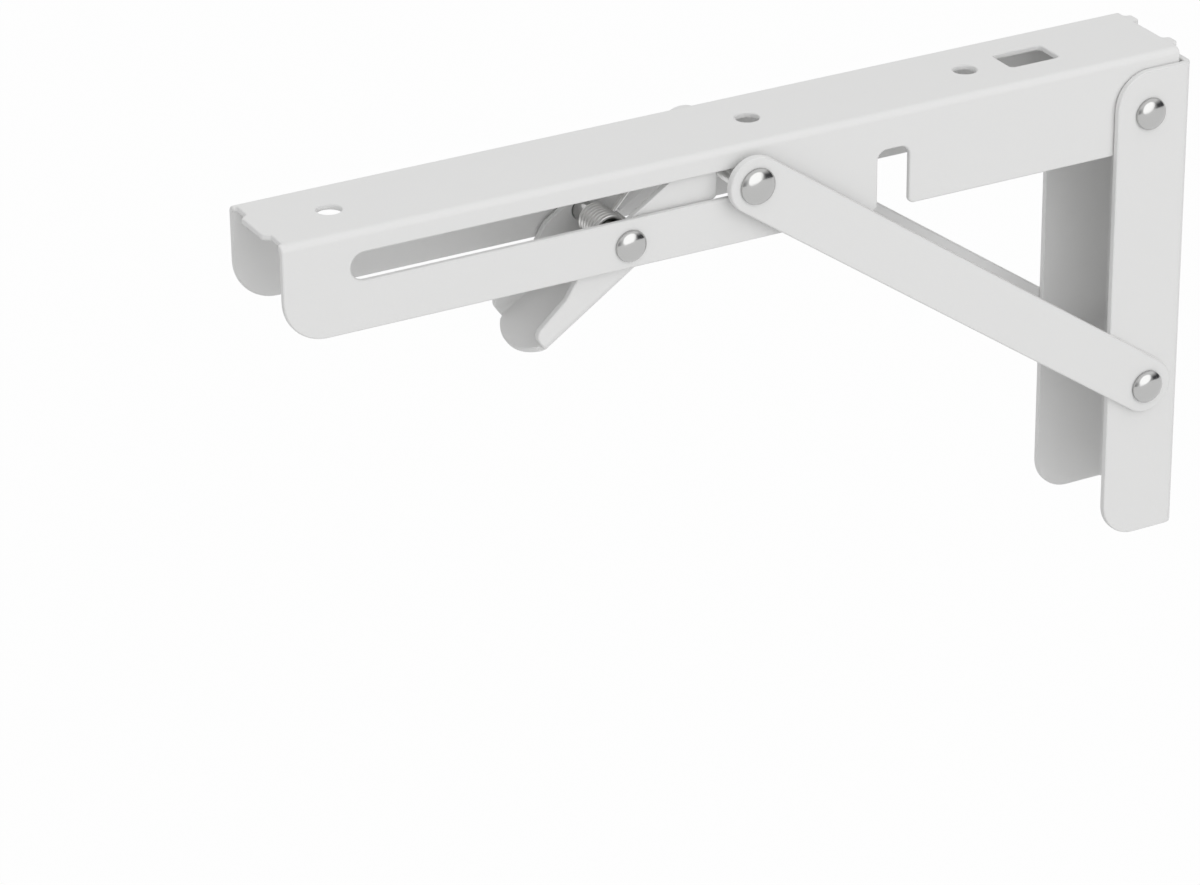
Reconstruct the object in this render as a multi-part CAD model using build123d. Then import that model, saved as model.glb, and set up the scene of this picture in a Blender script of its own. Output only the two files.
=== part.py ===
from build123d import *
import os
from math import asin, cos, degrees, hypot, radians, sin, sqrt

# Folding shelf bracket with a spring-loaded release lever, in millimetres.
# The wall lies in the plane X = 0 and the arm reaches out along -X.
# Width runs along Y, +Z is up, and Z = 0 is the middle of the wall channel.

# Wall channel
WALL_HEIGHT = 129.0
WALL_DEPTH = 22.0
WALL_SHEET = 1.8
WALL_BEND = 2.5
WALL_CORNER = 9.5
SCREW_HOLE_R = 3.0
SCREW_PITCH = 40.0
SCREW_MIDDLE_Z = -8.0
SCREW_COUNT = 3

# Shelf arm
ARM_REACH = 250.0
ARM_WIDTH = 29.0
ARM_HEIGHT = 25.4
ARM_SHEET = 1.5
ARM_BEND = 2.0
ARM_END_CORNER = 12.0
ARM_END_GAP = 2.7
SHELF_HOLE_R = 3.0
SHELF_HOLES_FROM_WALL = (57.0, 119.0)
SHELF_HOLE_FROM_END = 19.0
WINDOW_FROM_WALL = 39.2
WINDOW_LENGTH = 14.2
WINDOW_WIDTH = 9.2
WINDOW_CORNER = 1.2

# Cut edges of the arm's web: a nose at the free end, two ears at the wall end
NOSE_OUT = 0.8
NOSE_HALF = 5.8
NOSE_ROUND = 2.0
RELIEF_DEPTH = 1.0
RELIEF_WIDTH = 3.6
EAR_OUT = 1.9
EAR_INNER = 6.6
EAR_ABOVE_WALL = 0.35
EDGE_ROUND = 0.9

# Gaps between the sheet pieces
ARM_SIDE_GAP = 0.3
LINK_SIDE_GAP = 0.2
FOLD_GAP = 0.25
LEVER_SIDE_GAP = 0.9
TURNING_GAP = 0.05
HEAD_GAP = 0.1
WASHER_GAP = 0.15
SLOT_GAP = 0.1

# Pivots: the arm's on the wall channel, the links' below it, and the slide
# pin's place in the arm's slot when the bracket is open
PIVOT_FROM_WALL = 12.5
PIVOT_BELOW_TOP = 11.5
LINK_PIVOT_FROM_WALL = 11.9
PIVOT_SPACING = 74.6
SLOT_ABOVE_PIVOT = 5.7
SLIDE_FROM_END = 123.0
SLOT_SPARE = 1.7

# Links and slide pin
LINK_WIDTH = 14.6
LINK_SHEET = 2.2
SLIDE_PIN_R = 3.5
WASHER_R = 5.6

# Notch in both arm flanges that takes the links' rivet when folded
NOTCH_WIDTH = 9.5
NOTCH_TOP_ABOVE_PIVOT = 5.2
NOTCH_OFFSET = 0.8
NOTCH_ROUND = 2.6
NOTCH_MOUTH_ROUND = 1.5

# Rivets: shank and head of each, domed on the near side and peened on the far
ARM_RIVET_R = 2.75
ARM_HEAD_R = 4.3
LINK_RIVET_R = 3.2
LINK_HEAD_R = 4.4
SLIDE_RIVET_R = 2.75
SLIDE_HEAD_R = 4.7
LEVER_RIVET_R = 2.5
LEVER_HEAD_R = 4.1
HEAD_HEIGHT = 2.2
HEAD_BANDS = 3
PEEN_HEIGHT_SHARE = 0.7
PEEN_TOP_SHARE = 0.72
LEVER_HEAD_GAP = 0.3

# Release lever, drawn along its lower edge: s runs from handle to hook and h
# is the height above that edge
LEVER_PIVOT_FROM_SLIDE = 32.2
LEVER_PIVOT_DROP = 4.5
LEVER_ANGLE = 33.7
LEVER_SHEET = 1.8
LEVER_BEND = 2.6
LEVER_PIVOT_H = 8.4
LEVER_BAR_WIDTH = 12.4
HANDLE_END_S = -31.3
HANDLE_END_WIDTH = 6.0
HANDLE_NECK_S = -20.0
HANDLE_NECK_WIDTH = 7.6
SHOULDER_S = -9.0
HANDLE_ROUND = 2.4
SHOULDER_ROUND = 3.0
TONGUE_OUT = 4.4
TONGUE_HALF_WIDTH = 10.6
LEVER_WEB_END_S = 6.5
HOOK_OUT = 25.0
HOOK_TOP = 13.5
HOOK_ROUND = 1.2

# Torsion spring around the lever's rivet, with a leg on the handle's web and
# one under the arm's web, each leaning by its angle; its wire has few sides
SPRING_WIRE_R = 0.6
SPRING_WIRE_SIDES = 6
SPRING_COIL_R = 3.6
SPRING_PITCH = 1.3
SPRING_WHOLE_TURNS = 7
SPRING_BENDS_PER_TURN = 8
HANDLE_LEG_ANGLE = 10.0
ARM_LEG_ANGLE = 45.0
SPRING_SEAT_GAP = 0.05

# Places that follow from the sizes above
WALL_HALF = ARM_WIDTH / 2 + ARM_SIDE_GAP + WALL_SHEET
LINK_INNER = WALL_HALF + LINK_SIDE_GAP
LINK_OUTER = LINK_INNER + LINK_SHEET
ARM_HALF = ARM_WIDTH / 2
ARM_INNER = ARM_HALF - ARM_SHEET
FOLD_RADIUS = PIVOT_FROM_WALL - WALL_SHEET - FOLD_GAP
PIVOT_X = -PIVOT_FROM_WALL
PIVOT_Z = WALL_HEIGHT / 2 - PIVOT_BELOW_TOP
ARM_BOTTOM = PIVOT_Z - FOLD_RADIUS
ARM_TOP = ARM_BOTTOM + ARM_HEIGHT
LINK_PIVOT_X = -LINK_PIVOT_FROM_WALL
LINK_PIVOT_Z = PIVOT_Z - PIVOT_SPACING
SLIDE_X = SLIDE_FROM_END - ARM_REACH
SLIDE_Z = PIVOT_Z + SLOT_ABOVE_PIVOT
LINK_LENGTH = hypot(SLIDE_X - LINK_PIVOT_X, SLIDE_Z - LINK_PIVOT_Z)
LINK_FOLDED_OFFSET = SLOT_ABOVE_PIVOT + LINK_PIVOT_X - PIVOT_X
SLIDE_END = PIVOT_SPACING + sqrt(LINK_LENGTH**2 - LINK_FOLDED_OFFSET**2)
SLOT_HALF = SLIDE_PIN_R + SLOT_GAP
LEVER_X = SLIDE_X - LEVER_PIVOT_FROM_SLIDE
LEVER_Z = PIVOT_Z - LEVER_PIVOT_DROP
LEVER_HALF = ARM_INNER - LEVER_SIDE_GAP
LEVER_HEAD_HEIGHT = LINK_INNER - ARM_HALF - LEVER_HEAD_GAP


def channel_section(width, depth, sheet, bend):
    """U section whose web lies on the local X axis and whose flanges rise along local Y."""
    outer = Pos(0, depth / 2) * Rectangle(width, depth)
    outer = fillet(outer.vertices().group_by(Axis.Y)[0], bend)
    inner = Pos(0, (depth + sheet) / 2) * Rectangle(width - 2 * sheet, depth - sheet)
    inner = fillet(inner.vertices().group_by(Axis.Y)[0], bend - sheet)
    return outer - inner


def across(sketch, half_width):
    """Side outline drawn in X and Z, carried across the bracket's width."""
    return extrude(Plane.XZ * sketch, amount=half_width, both=True)


def between(x_low, x_high, y_low, y_high):
    """Rectangle given by its sides."""
    centre = Pos((x_low + x_high) / 2, (y_low + y_high) / 2)
    return centre * Rectangle(x_high - x_low, y_high - y_low)


def cross_hole(x, z, radius, half_width):
    """Round hole across the bracket."""
    return across(Pos(x, z) * Circle(radius), half_width)


def wall_channel():
    """Wall plate with two flanges, rounded front corners and its screw holes."""
    half_height = WALL_HEIGHT / 2
    foot = Plane(origin=(0, 0, -half_height), x_dir=(0, 1, 0), z_dir=(0, 0, 1))
    section = channel_section(2 * WALL_HALF, WALL_DEPTH, WALL_SHEET, WALL_BEND)
    channel = extrude(foot * section, amount=WALL_HEIGHT)
    side = between(-WALL_DEPTH, 0, -half_height, half_height)
    side = fillet(side.vertices().group_by(Axis.X)[0], WALL_CORNER)
    channel &= across(side, WALL_HALF)
    for index in range(SCREW_COUNT):
        z = SCREW_MIDDLE_Z + (index - (SCREW_COUNT - 1) / 2) * SCREW_PITCH
        drill = Plane(origin=(0, 0, z), z_dir=(-1, 0, 0)) * Circle(SCREW_HOLE_R)
        channel -= extrude(drill, amount=WALL_SHEET)
    channel -= cross_hole(PIVOT_X, PIVOT_Z, ARM_RIVET_R, WALL_HALF)
    channel -= cross_hole(LINK_PIVOT_X, LINK_PIVOT_Z, LINK_RIVET_R, WALL_HALF)
    return channel


def arm_side():
    """Side outline of the arm's flanges, round the pivot at the wall end."""
    end_x = -ARM_END_GAP
    side = between(-ARM_REACH, end_x, ARM_BOTTOM, ARM_TOP)
    free_corner = side.vertices().group_by(Axis.X)[0].sort_by(Axis.Y)[0]
    side = fillet(free_corner, ARM_END_CORNER)
    heel = between(PIVOT_X, 0, ARM_BOTTOM - FOLD_RADIUS, PIVOT_Z)
    return side - (heel - Pos(PIVOT_X, PIVOT_Z) * Circle(FOLD_RADIUS))


def arm_web_plan():
    """Plan outline of the arm's web, with the nose, the reliefs and the ears."""
    free_x = -ARM_REACH
    end_x = -ARM_END_GAP
    nose = between(free_x - NOSE_OUT, PIVOT_X, -NOSE_HALF, NOSE_HALF)
    ear_width = 2 * (ARM_HALF - EAR_INNER)
    relief_y = NOSE_HALF + RELIEF_WIDTH / 2
    nose = fillet(nose.vertices().group_by(Axis.X)[0], NOSE_ROUND)
    plan = between(free_x, end_x, -ARM_HALF, ARM_HALF) + nose
    for y in (-1, 1):
        ear = Pos(end_x, y * ARM_HALF) * RectangleRounded(2 * EAR_OUT, ear_width, EDGE_ROUND)
        relief = RectangleRounded(2 * RELIEF_DEPTH, RELIEF_WIDTH, EDGE_ROUND)
        plan = plan + ear - Pos(free_x, y * relief_y) * relief
    return plan


def slot_outline():
    """Long slot for the slide pin, from its open place to its folded place."""
    start_x = SLIDE_X
    end_x = PIVOT_X - SLIDE_END - SLOT_SPARE
    centre = Pos((start_x + end_x) / 2, SLIDE_Z)
    return centre * SlotCenterToCenter(start_x - end_x, 2 * SLOT_HALF)


def notch_outline():
    """Notch with a round top and rounded mouth, open at the flange's edge."""
    centre_x = PIVOT_X - PIVOT_SPACING + NOTCH_OFFSET
    top = PIVOT_Z + NOTCH_TOP_ABOVE_PIVOT
    low = ARM_BOTTOM - NOTCH_MOUTH_ROUND
    half = NOTCH_WIDTH / 2
    notch = between(centre_x - half, centre_x + half, low, top)
    notch = fillet(notch.vertices().group_by(Axis.Y)[-1], NOTCH_ROUND)
    for side in (-1, 1):
        edge_x = centre_x + side * half
        round_x = edge_x + side * NOTCH_MOUTH_ROUND
        mouth_top = ARM_BOTTOM + NOTCH_MOUTH_ROUND
        mouth = between(min(edge_x, round_x), max(edge_x, round_x), low, mouth_top)
        notch += mouth - Pos(round_x, mouth_top) * Circle(NOTCH_MOUTH_ROUND)
    return notch


def shelf_arm():
    """Arm channel, open below, with its slots, notches, window and shelf holes."""
    overhang = EAR_OUT + NOSE_OUT
    length = ARM_REACH - ARM_END_GAP + 2 * overhang
    wall_end = Plane(origin=(overhang - ARM_END_GAP, 0, ARM_TOP), x_dir=(0, 1, 0), z_dir=(-1, 0, 0))
    section = channel_section(ARM_WIDTH, ARM_HEIGHT, ARM_SHEET, ARM_BEND)
    channel = extrude(wall_end * section, amount=length)
    web_low = ARM_TOP - ARM_SHEET
    ear_low = WALL_HEIGHT / 2 + EAR_ABOVE_WALL
    ear_side = between(-2 * ARM_END_GAP, EAR_OUT - ARM_END_GAP, ear_low, web_low)
    side = (arm_side() & between(-ARM_REACH, 0, ARM_BOTTOM, web_low)) + ear_side
    flanges = across(side, ARM_HALF)
    web = extrude(Pos(0, 0, web_low) * arm_web_plan(), amount=ARM_SHEET)
    arm = channel & (flanges + web)
    arm -= across(slot_outline(), ARM_HALF)
    arm -= across(notch_outline(), ARM_HALF)
    arm -= cross_hole(PIVOT_X, PIVOT_Z, ARM_RIVET_R + TURNING_GAP, ARM_HALF)
    arm -= cross_hole(LEVER_X, LEVER_Z, LEVER_RIVET_R, ARM_HALF)
    for distance in (*SHELF_HOLES_FROM_WALL, ARM_REACH - SHELF_HOLE_FROM_END):
        arm -= Pos(-distance, 0, ARM_TOP) * Cylinder(SHELF_HOLE_R, 2 * ARM_SHEET)
    window = Pos(-WINDOW_FROM_WALL, 0) * RectangleRounded(WINDOW_LENGTH, WINDOW_WIDTH, WINDOW_CORNER)
    arm -= extrude(Pos(0, 0, web_low) * window, amount=ARM_SHEET)
    return arm


def link(side):
    """Flat link with round ends; side is -1 for the near one and 1 for the far one."""
    tilt = degrees(asin((SLIDE_Z - LINK_PIVOT_Z) / LINK_LENGTH))
    middle = Pos((SLIDE_X + LINK_PIVOT_X) / 2, (SLIDE_Z + LINK_PIVOT_Z) / 2)
    outline = middle * Rot(0, 0, -tilt) * SlotCenterToCenter(LINK_LENGTH, LINK_WIDTH)
    outline -= Pos(LINK_PIVOT_X, LINK_PIVOT_Z) * Circle(LINK_RIVET_R + TURNING_GAP)
    outline -= Pos(SLIDE_X, SLIDE_Z) * Circle(SLIDE_RIVET_R)
    face = Plane(origin=(0, side * LINK_INNER, 0), x_dir=(1, 0, 0), z_dir=(0, -1, 0))
    return extrude(face * outline, amount=-side * LINK_SHEET)


def domed_outline(radius, height):
    """Half outline of a domed head, its arc in flat bands."""
    ball_r = (radius**2 + height**2) / (2 * height)
    spread = asin(radius / ball_r)
    outline = []
    for band in range(HEAD_BANDS):
        angle = spread * (1 - band / HEAD_BANDS)
        outline.append((ball_r * sin(angle), height - ball_r * (1 - cos(angle))))
    return outline


def peened_outline(radius, height):
    """Half outline of a flat-topped end that was spread with a hammer."""
    return [(radius, 0), (radius * PEEN_TOP_SHARE, PEEN_HEIGHT_SHARE * height)]


def rivet_head(x, z, y, side, radius, height):
    """Head that stands on the plane at y, towards side: domed near, peened far."""
    outline = domed_outline(radius, height) if side < 0 else peened_outline(radius, height)
    top = height if side < 0 else PEEN_HEIGHT_SHARE * height
    profile = make_face(Polyline((0, 0), *outline, (0, top), close=True))
    seat = Plane(origin=(x, y, z), x_dir=(1, 0, 0), z_dir=(0, side, 0))
    return seat * revolve(Plane.XZ * profile, axis=Axis.Z)


def shank(x, z, y_low, y_high, radius):
    """Plain round shank across the bracket."""
    seat = Plane(origin=(x, (y_low + y_high) / 2, z), x_dir=(1, 0, 0), z_dir=(0, 1, 0))
    return seat * Cylinder(radius, y_high - y_low)


def through_rivet(x, z, half_length, shank_r, head_r, height=HEAD_HEIGHT):
    """Rivet right across, with its domed near head and its peened far end."""
    near = rivet_head(x, z, -half_length, -1, head_r, height)
    far = rivet_head(x, z, half_length, 1, head_r, height)
    return shank(x, z, -half_length, half_length, shank_r) + near + far


def slide_rivet(side):
    """End of the slide rivet that holds one link: its head and the shank in the link."""
    head = rivet_head(SLIDE_X, SLIDE_Z, side * LINK_OUTER, side, SLIDE_HEAD_R, HEAD_HEIGHT)
    y_low, y_high = sorted((side * LINK_INNER, side * LINK_OUTER))
    return head + shank(SLIDE_X, SLIDE_Z, y_low, y_high, SLIDE_RIVET_R)


def slide_pin(side):
    """Shank of the slide rivet that runs in one flange's slot."""
    y_low, y_high = sorted((side * ARM_INNER, side * (LINK_INNER - WASHER_GAP)))
    return shank(SLIDE_X, SLIDE_Z, y_low, y_high, SLIDE_PIN_R)


def slide_washer(side):
    """Washer that keeps the link clear of the arm's flange."""
    y_low, y_high = sorted((side * (ARM_HALF + WASHER_GAP), side * (LINK_INNER - WASHER_GAP)))
    ring = shank(SLIDE_X, SLIDE_Z, y_low, y_high, WASHER_R)
    return ring - shank(SLIDE_X, SLIDE_Z, y_low, y_high, SLIDE_PIN_R)


def lever_plane(s, y, h):
    """Plane across the lever at s, with local X along Y and local Y along h."""
    angle = radians(LEVER_ANGLE)
    rise = h - LEVER_PIVOT_H
    x = LEVER_X + s * cos(angle) - rise * sin(angle)
    z = LEVER_Z + s * sin(angle) + rise * cos(angle)
    return Plane(origin=(x, y, z), x_dir=(0, 1, 0), z_dir=(cos(angle), 0, sin(angle)))


def lever_outline():
    """Side outline of the lever in s and h: handle, bar around the pivot, hook."""
    angle = radians(LEVER_ANGLE)

    def from_pivot(x, z):
        along = x * cos(angle) + z * sin(angle)
        height = z * cos(angle) - x * sin(angle) + LEVER_PIVOT_H
        return along, height

    hook_low_z = (HOOK_OUT * sin(angle) - LEVER_PIVOT_H) / cos(angle)
    hook_back_x = (HOOK_TOP * cos(angle) + LEVER_PIVOT_H - LEVER_BAR_WIDTH) / sin(angle)
    hook_low = from_pivot(HOOK_OUT, hook_low_z)
    hook_tip = from_pivot(HOOK_OUT, HOOK_TOP)
    hook_back = from_pivot(hook_back_x, HOOK_TOP)
    shoulder = (SHOULDER_S, LEVER_BAR_WIDTH)
    neck = (HANDLE_NECK_S, HANDLE_NECK_WIDTH)
    handle_top = (HANDLE_END_S, HANDLE_END_WIDTH)
    handle_low = (HANDLE_END_S, 0)
    corners = (handle_low, hook_low, hook_tip, hook_back, shoulder, neck, handle_top)
    outline = make_face(Polyline(*corners, close=True))

    def corner(sketch, point):
        return sketch.vertices().sort_by_distance(Vector(*point))[0]

    for point, radius in (
        (handle_top, HANDLE_ROUND),
        (shoulder, SHOULDER_ROUND),
        (neck, SHOULDER_ROUND),
        (hook_low, HOOK_ROUND),
        (hook_tip, HOOK_ROUND),
        (hook_back, HOOK_ROUND),
    ):
        outline = fillet(corner(outline, point), radius)
    return outline


def release_lever():
    """Rocker between the arm's flanges: two cheeks joined by a web under the handle."""
    angle = radians(LEVER_ANGLE)
    foot = lever_plane(0, 0, 0)
    side = Plane(origin=foot.origin, x_dir=(cos(angle), 0, sin(angle)), z_dir=(0, -1, 0))
    body = extrude(side * lever_outline(), amount=LEVER_HALF, both=True)
    start = lever_plane(HANDLE_END_S, 0, 0)
    section = channel_section(2 * LEVER_HALF, 2 * LEVER_BAR_WIDTH, LEVER_SHEET, LEVER_BEND)
    handle = extrude(start * section, amount=LEVER_WEB_END_S - HANDLE_END_S)
    cheeks = Sketch()
    for y in (-1, 1):
        cheeks += Pos(y * (LEVER_HALF - LEVER_SHEET / 2), 0) * Rectangle(LEVER_SHEET, 4 * LEVER_BAR_WIDTH)
    hook = extrude(lever_plane(LEVER_WEB_END_S, 0, 0) * cheeks, amount=2 * HOOK_OUT)
    lever = body & (handle + hook)
    plan = Plane(origin=start.origin, x_dir=(0, 1, 0), z_dir=start.y_dir)
    half = TONGUE_HALF_WIDTH
    seam = LEVER_SHEET
    end = make_face(
        ThreePointArc((-half, 0), (0, TONGUE_OUT), (half, 0))
        + Polyline((half, 0), (half, -seam), (-half, -seam), (-half, 0))
    )
    lever += extrude(plan * end, amount=LEVER_SHEET)
    lever -= cross_hole(LEVER_X, LEVER_Z, LEVER_RIVET_R + TURNING_GAP, LEVER_HALF)
    return lever


def lever_spring():
    """Torsion spring: close coil round the rivet with a straight leg at each end."""
    turns = SPRING_WHOLE_TURNS + (ARM_LEG_ANGLE - LEVER_ANGLE - HANDLE_LEG_ANGLE) / 360
    length = SPRING_PITCH * turns
    coil = Helix(pitch=SPRING_PITCH, height=length, radius=SPRING_COIL_R, lefthand=True)
    lean = radians(HANDLE_LEG_ANGLE)
    rise = radians(ARM_LEG_ANGLE)
    web_h = LEVER_SHEET + SPRING_SEAT_GAP
    web_z = ARM_TOP - ARM_SHEET - SPRING_SEAT_GAP
    handle_drop = LEVER_PIVOT_H - web_h - (SPRING_COIL_R + SPRING_WIRE_R) * cos(lean)
    arm_climb = web_z - LEVER_Z + (SPRING_COIL_R - SPRING_WIRE_R) * cos(rise)
    handle_end = coil @ 0 - coil % 0 * (handle_drop / sin(lean))
    arm_end = coil @ 1 + coil % 1 * (arm_climb / sin(rise))
    steps = round(turns * SPRING_BENDS_PER_TURN)
    path = Polyline(handle_end, *(coil @ (step / steps) for step in range(steps + 1)), arm_end)
    section = Plane(origin=handle_end, z_dir=path % 0) * RegularPolygon(SPRING_WIRE_R, SPRING_WIRE_SIDES)
    start = lean + radians(LEVER_ANGLE)
    seat = Plane(origin=(LEVER_X, -length / 2, LEVER_Z), x_dir=(sin(start), 0, -cos(start)), z_dir=(0, 1, 0))
    return seat * sweep(section, path=path, transition=Transition.RIGHT)


PARTS = {
    "wall_channel": wall_channel(),
    "shelf_arm": shelf_arm(),
    "link_near": link(-1),
    "link_far": link(1),
    "rivet_arm_pivot": through_rivet(PIVOT_X, PIVOT_Z, WALL_HALF, ARM_RIVET_R, ARM_HEAD_R),
    "rivet_link_pivot": through_rivet(
        LINK_PIVOT_X, LINK_PIVOT_Z, LINK_OUTER + HEAD_GAP, LINK_RIVET_R, LINK_HEAD_R
    ),
    "rivet_lever_pivot": through_rivet(
        LEVER_X, LEVER_Z, ARM_HALF, LEVER_RIVET_R, LEVER_HEAD_R, LEVER_HEAD_HEIGHT
    ),
    "slide_rivet_near": slide_rivet(-1),
    "slide_rivet_far": slide_rivet(1),
    "slide_pin_near": slide_pin(-1),
    "slide_pin_far": slide_pin(1),
    "slide_washer_near": slide_washer(-1),
    "slide_washer_far": slide_washer(1),
    "release_lever": release_lever(),
    "lever_spring": lever_spring(),
}

os.makedirs("parts", exist_ok=True)
for name, solid in PARTS.items():
    export_step(solid, f"parts/{name}.step")
    print(name, round(solid.volume, 1), solid.is_valid)
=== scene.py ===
"""Looks of a folding shelf bracket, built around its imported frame.

Each sheet piece is punched flat, gets its cut edges rolled and is folded, and
carries a white powder coat. The rivets have smooth domes and a bright nickel
plate, the slide rivet has its full length, and the lever's spring is a round
drawn wire. Sizes are in millimetres unless a line says otherwise, and the
finished pieces are in metres.
"""

import logging
import math
from dataclasses import dataclass, field
from enum import Enum

import bmesh
import bpy
from mathutils import Matrix, Quaternion, Vector


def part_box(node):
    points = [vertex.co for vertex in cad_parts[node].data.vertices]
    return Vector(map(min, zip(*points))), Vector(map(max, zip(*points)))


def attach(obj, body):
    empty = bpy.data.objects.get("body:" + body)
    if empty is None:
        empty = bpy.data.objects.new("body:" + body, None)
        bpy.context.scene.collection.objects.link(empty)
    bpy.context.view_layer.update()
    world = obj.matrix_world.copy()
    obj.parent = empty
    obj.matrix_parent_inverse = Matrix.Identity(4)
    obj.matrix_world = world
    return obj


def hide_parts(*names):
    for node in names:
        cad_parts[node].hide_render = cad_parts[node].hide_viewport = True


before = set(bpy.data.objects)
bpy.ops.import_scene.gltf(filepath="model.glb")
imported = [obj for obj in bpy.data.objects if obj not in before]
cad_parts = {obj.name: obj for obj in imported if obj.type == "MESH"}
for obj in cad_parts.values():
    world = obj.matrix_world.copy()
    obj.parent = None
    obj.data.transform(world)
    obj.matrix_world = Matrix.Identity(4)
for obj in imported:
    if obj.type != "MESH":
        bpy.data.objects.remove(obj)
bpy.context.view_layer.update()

MM = 0.001
EDGE_ATTRIBUTE = "rolled_edge"
SHARP_TURN = math.radians(40)
ARC_STEP = math.radians(6)
LEAST_ARC_STEPS = 3
HOLE_SIDES = 56
ROUND_SIDES = 72
EDGE_STEPS = 3
CLOSE = 0.001
ACROSS = Vector((0, 1, 0))

Colour = tuple[float, float, float, float]
Geometry = list[bmesh.types.BMVert | bmesh.types.BMEdge]
WHITE: Colour = (1.0, 1.0, 1.0, 1.0)

log = logging.getLogger("shelf_bracket")


class Side(Enum):
    """Side of the bracket, as the sign of Y."""

    NEAR = -1
    FAR = 1


class Body(Enum):
    """Moving group that a piece rides on."""

    WALL = "wall_bracket"
    ARM = "arm"
    LINKS = "links"
    SLIDER = "slider"
    LEVER = "lever"


class RivetEnd(Enum):
    """Form of a rivet's end."""

    DOMED = "domed"
    PEENED = "peened"
    PLAIN = "plain"


# Shader node groups


@dataclass
class Board:
    """Node tree with short calls to place and wire its nodes.

    Attributes:
        tree: The node tree of a material, world or node group.
    """

    tree: bpy.types.NodeTree

    def place(self, kind: str, **settings: object) -> bpy.types.Node:
        """Adds a node and sets its properties.

        Args:
            kind: Blender's name of the node type.
            **settings: Properties to set on the node.

        Returns:
            The new node.
        """
        node = self.tree.nodes.new(kind)
        for name, value in settings.items():
            setattr(node, name, value)
        return node

    def feed(self, node: bpy.types.Node, **inputs: object) -> bpy.types.Node:
        """Gives a node's inputs plain values or links.

        Args:
            node: The node whose inputs are set.
            **inputs: Socket names in lower case with underscores, or s0, s1 for
                sockets by place; each value is a number, a tuple or a socket.

        Returns:
            The same node.
        """
        # Of two sockets with one name the first is kept, as it comes last here.
        by_name = {
            socket.name.lower().replace(" ", "_"): socket for socket in reversed(node.inputs)
        }
        for name, value in inputs.items():
            by_place = name[0] == "s" and name[1:].isdigit()
            socket = node.inputs[int(name[1:])] if by_place else by_name[name]
            if isinstance(value, bpy.types.NodeSocket):
                self.tree.links.new(value, socket)
            else:
                socket.default_value = value
        return node

    def maths(
        self, operation: str, first: object, second: object = 0.0, clamp: bool = False
    ) -> bpy.types.NodeSocket:
        """Adds a Math node on two values or sockets.

        Args:
            operation: Blender's name of the operation.
            first: First value or socket.
            second: Second value or socket.
            clamp: Whether the result is held between 0 and 1.

        Returns:
            The node's output.
        """
        node = self.place("ShaderNodeMath", operation=operation, use_clamp=clamp)
        return self.feed(node, s0=first, s1=second).outputs[0]

    def blend(self, amount: object, first: object, second: object) -> bpy.types.NodeSocket:
        """Mixes two colours.

        Args:
            amount: Share of the second colour.
            first: First colour or socket.
            second: Second colour or socket.

        Returns:
            The mixed colour's socket.
        """
        node = self.place("ShaderNodeMix", data_type="RGBA")
        self.feed(node, s0=amount, s6=first, s7=second)
        return node.outputs[2]

    def spread(
        self, value: object, taken: tuple[float, float], given: tuple[float, float] = (0.0, 1.0)
    ) -> bpy.types.NodeSocket:
        """Maps a value from one range to another, held at its ends.

        Args:
            value: Value or socket to map.
            taken: Start and end of the range that comes in.
            given: Start and end of the range that goes out.

        Returns:
            The mapped value's socket.
        """
        node = self.place("ShaderNodeMapRange")
        self.feed(node, value=value, from_min=taken[0], from_max=taken[1])
        self.feed(node, to_min=given[0], to_max=given[1])
        return node.outputs[0]

    def noise(
        self, place: object, size: object, detail: float = 2.0, roughness: float = 0.5
    ) -> bpy.types.NodeSocket:
        """Adds a noise whose features have a size in metres.

        Args:
            place: Coordinate socket.
            size: Size of a feature in metres, as a number or a socket.
            detail: Number of finer layers.
            roughness: Strength of the finer layers.

        Returns:
            The noise's value socket.
        """
        linked = isinstance(size, bpy.types.NodeSocket)
        scale = self.maths("DIVIDE", 1.0, size) if linked else 1.0 / size
        node = self.place("ShaderNodeTexNoise")
        self.feed(node, vector=place, scale=scale, detail=detail, roughness=roughness)
        return node.outputs[0]

    def surface_place(self) -> bpy.types.NodeSocket:
        """Adds the place on the object that a pattern follows."""
        return self.place("ShaderNodeTexCoord").outputs["Object"]

    def relief(self, shader: bpy.types.Node, height: bpy.types.NodeSocket, depth: float) -> None:
        """Turns a height into a shader's normal.

        Args:
            shader: The shader that gets the normal.
            height: Height socket.
            depth: Height of the relief, in metres.
        """
        node = self.place("ShaderNodeBump")
        self.feed(node, strength=1.0, distance=depth, height=height)
        self.feed(shader, normal=node.outputs["Normal"])

    def background_rays(self) -> tuple[bpy.types.NodeSocket, bpy.types.NodeSocket]:
        """Tells the rays that look at the background from those that light the bracket.

        Returns:
            A mask of the rays that come from the camera, a mirror or glass, and
            one of the rays that come from a mirror or glass alone.
        """
        rays = self.place("ShaderNodeLightPath").outputs
        mirrored = self.maths("MAXIMUM", rays["Is Glossy Ray"], rays["Is Transmission Ray"])
        return self.maths("MAXIMUM", rays["Is Camera Ray"], mirrored), mirrored

    def light(self, colour: object, strength: float) -> bpy.types.NodeSocket:
        """Adds a world's light of one colour or socket."""
        node = self.place("ShaderNodeBackground")
        return self.feed(node, color=colour, strength=strength).outputs[0]

    def mixed(self, amount: object, first: object, second: object) -> bpy.types.NodeSocket:
        """Mixes two shaders by an amount of the second."""
        node = self.place("ShaderNodeMixShader")
        return self.feed(node, s0=amount, s1=first, s2=second).outputs[0]


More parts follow.
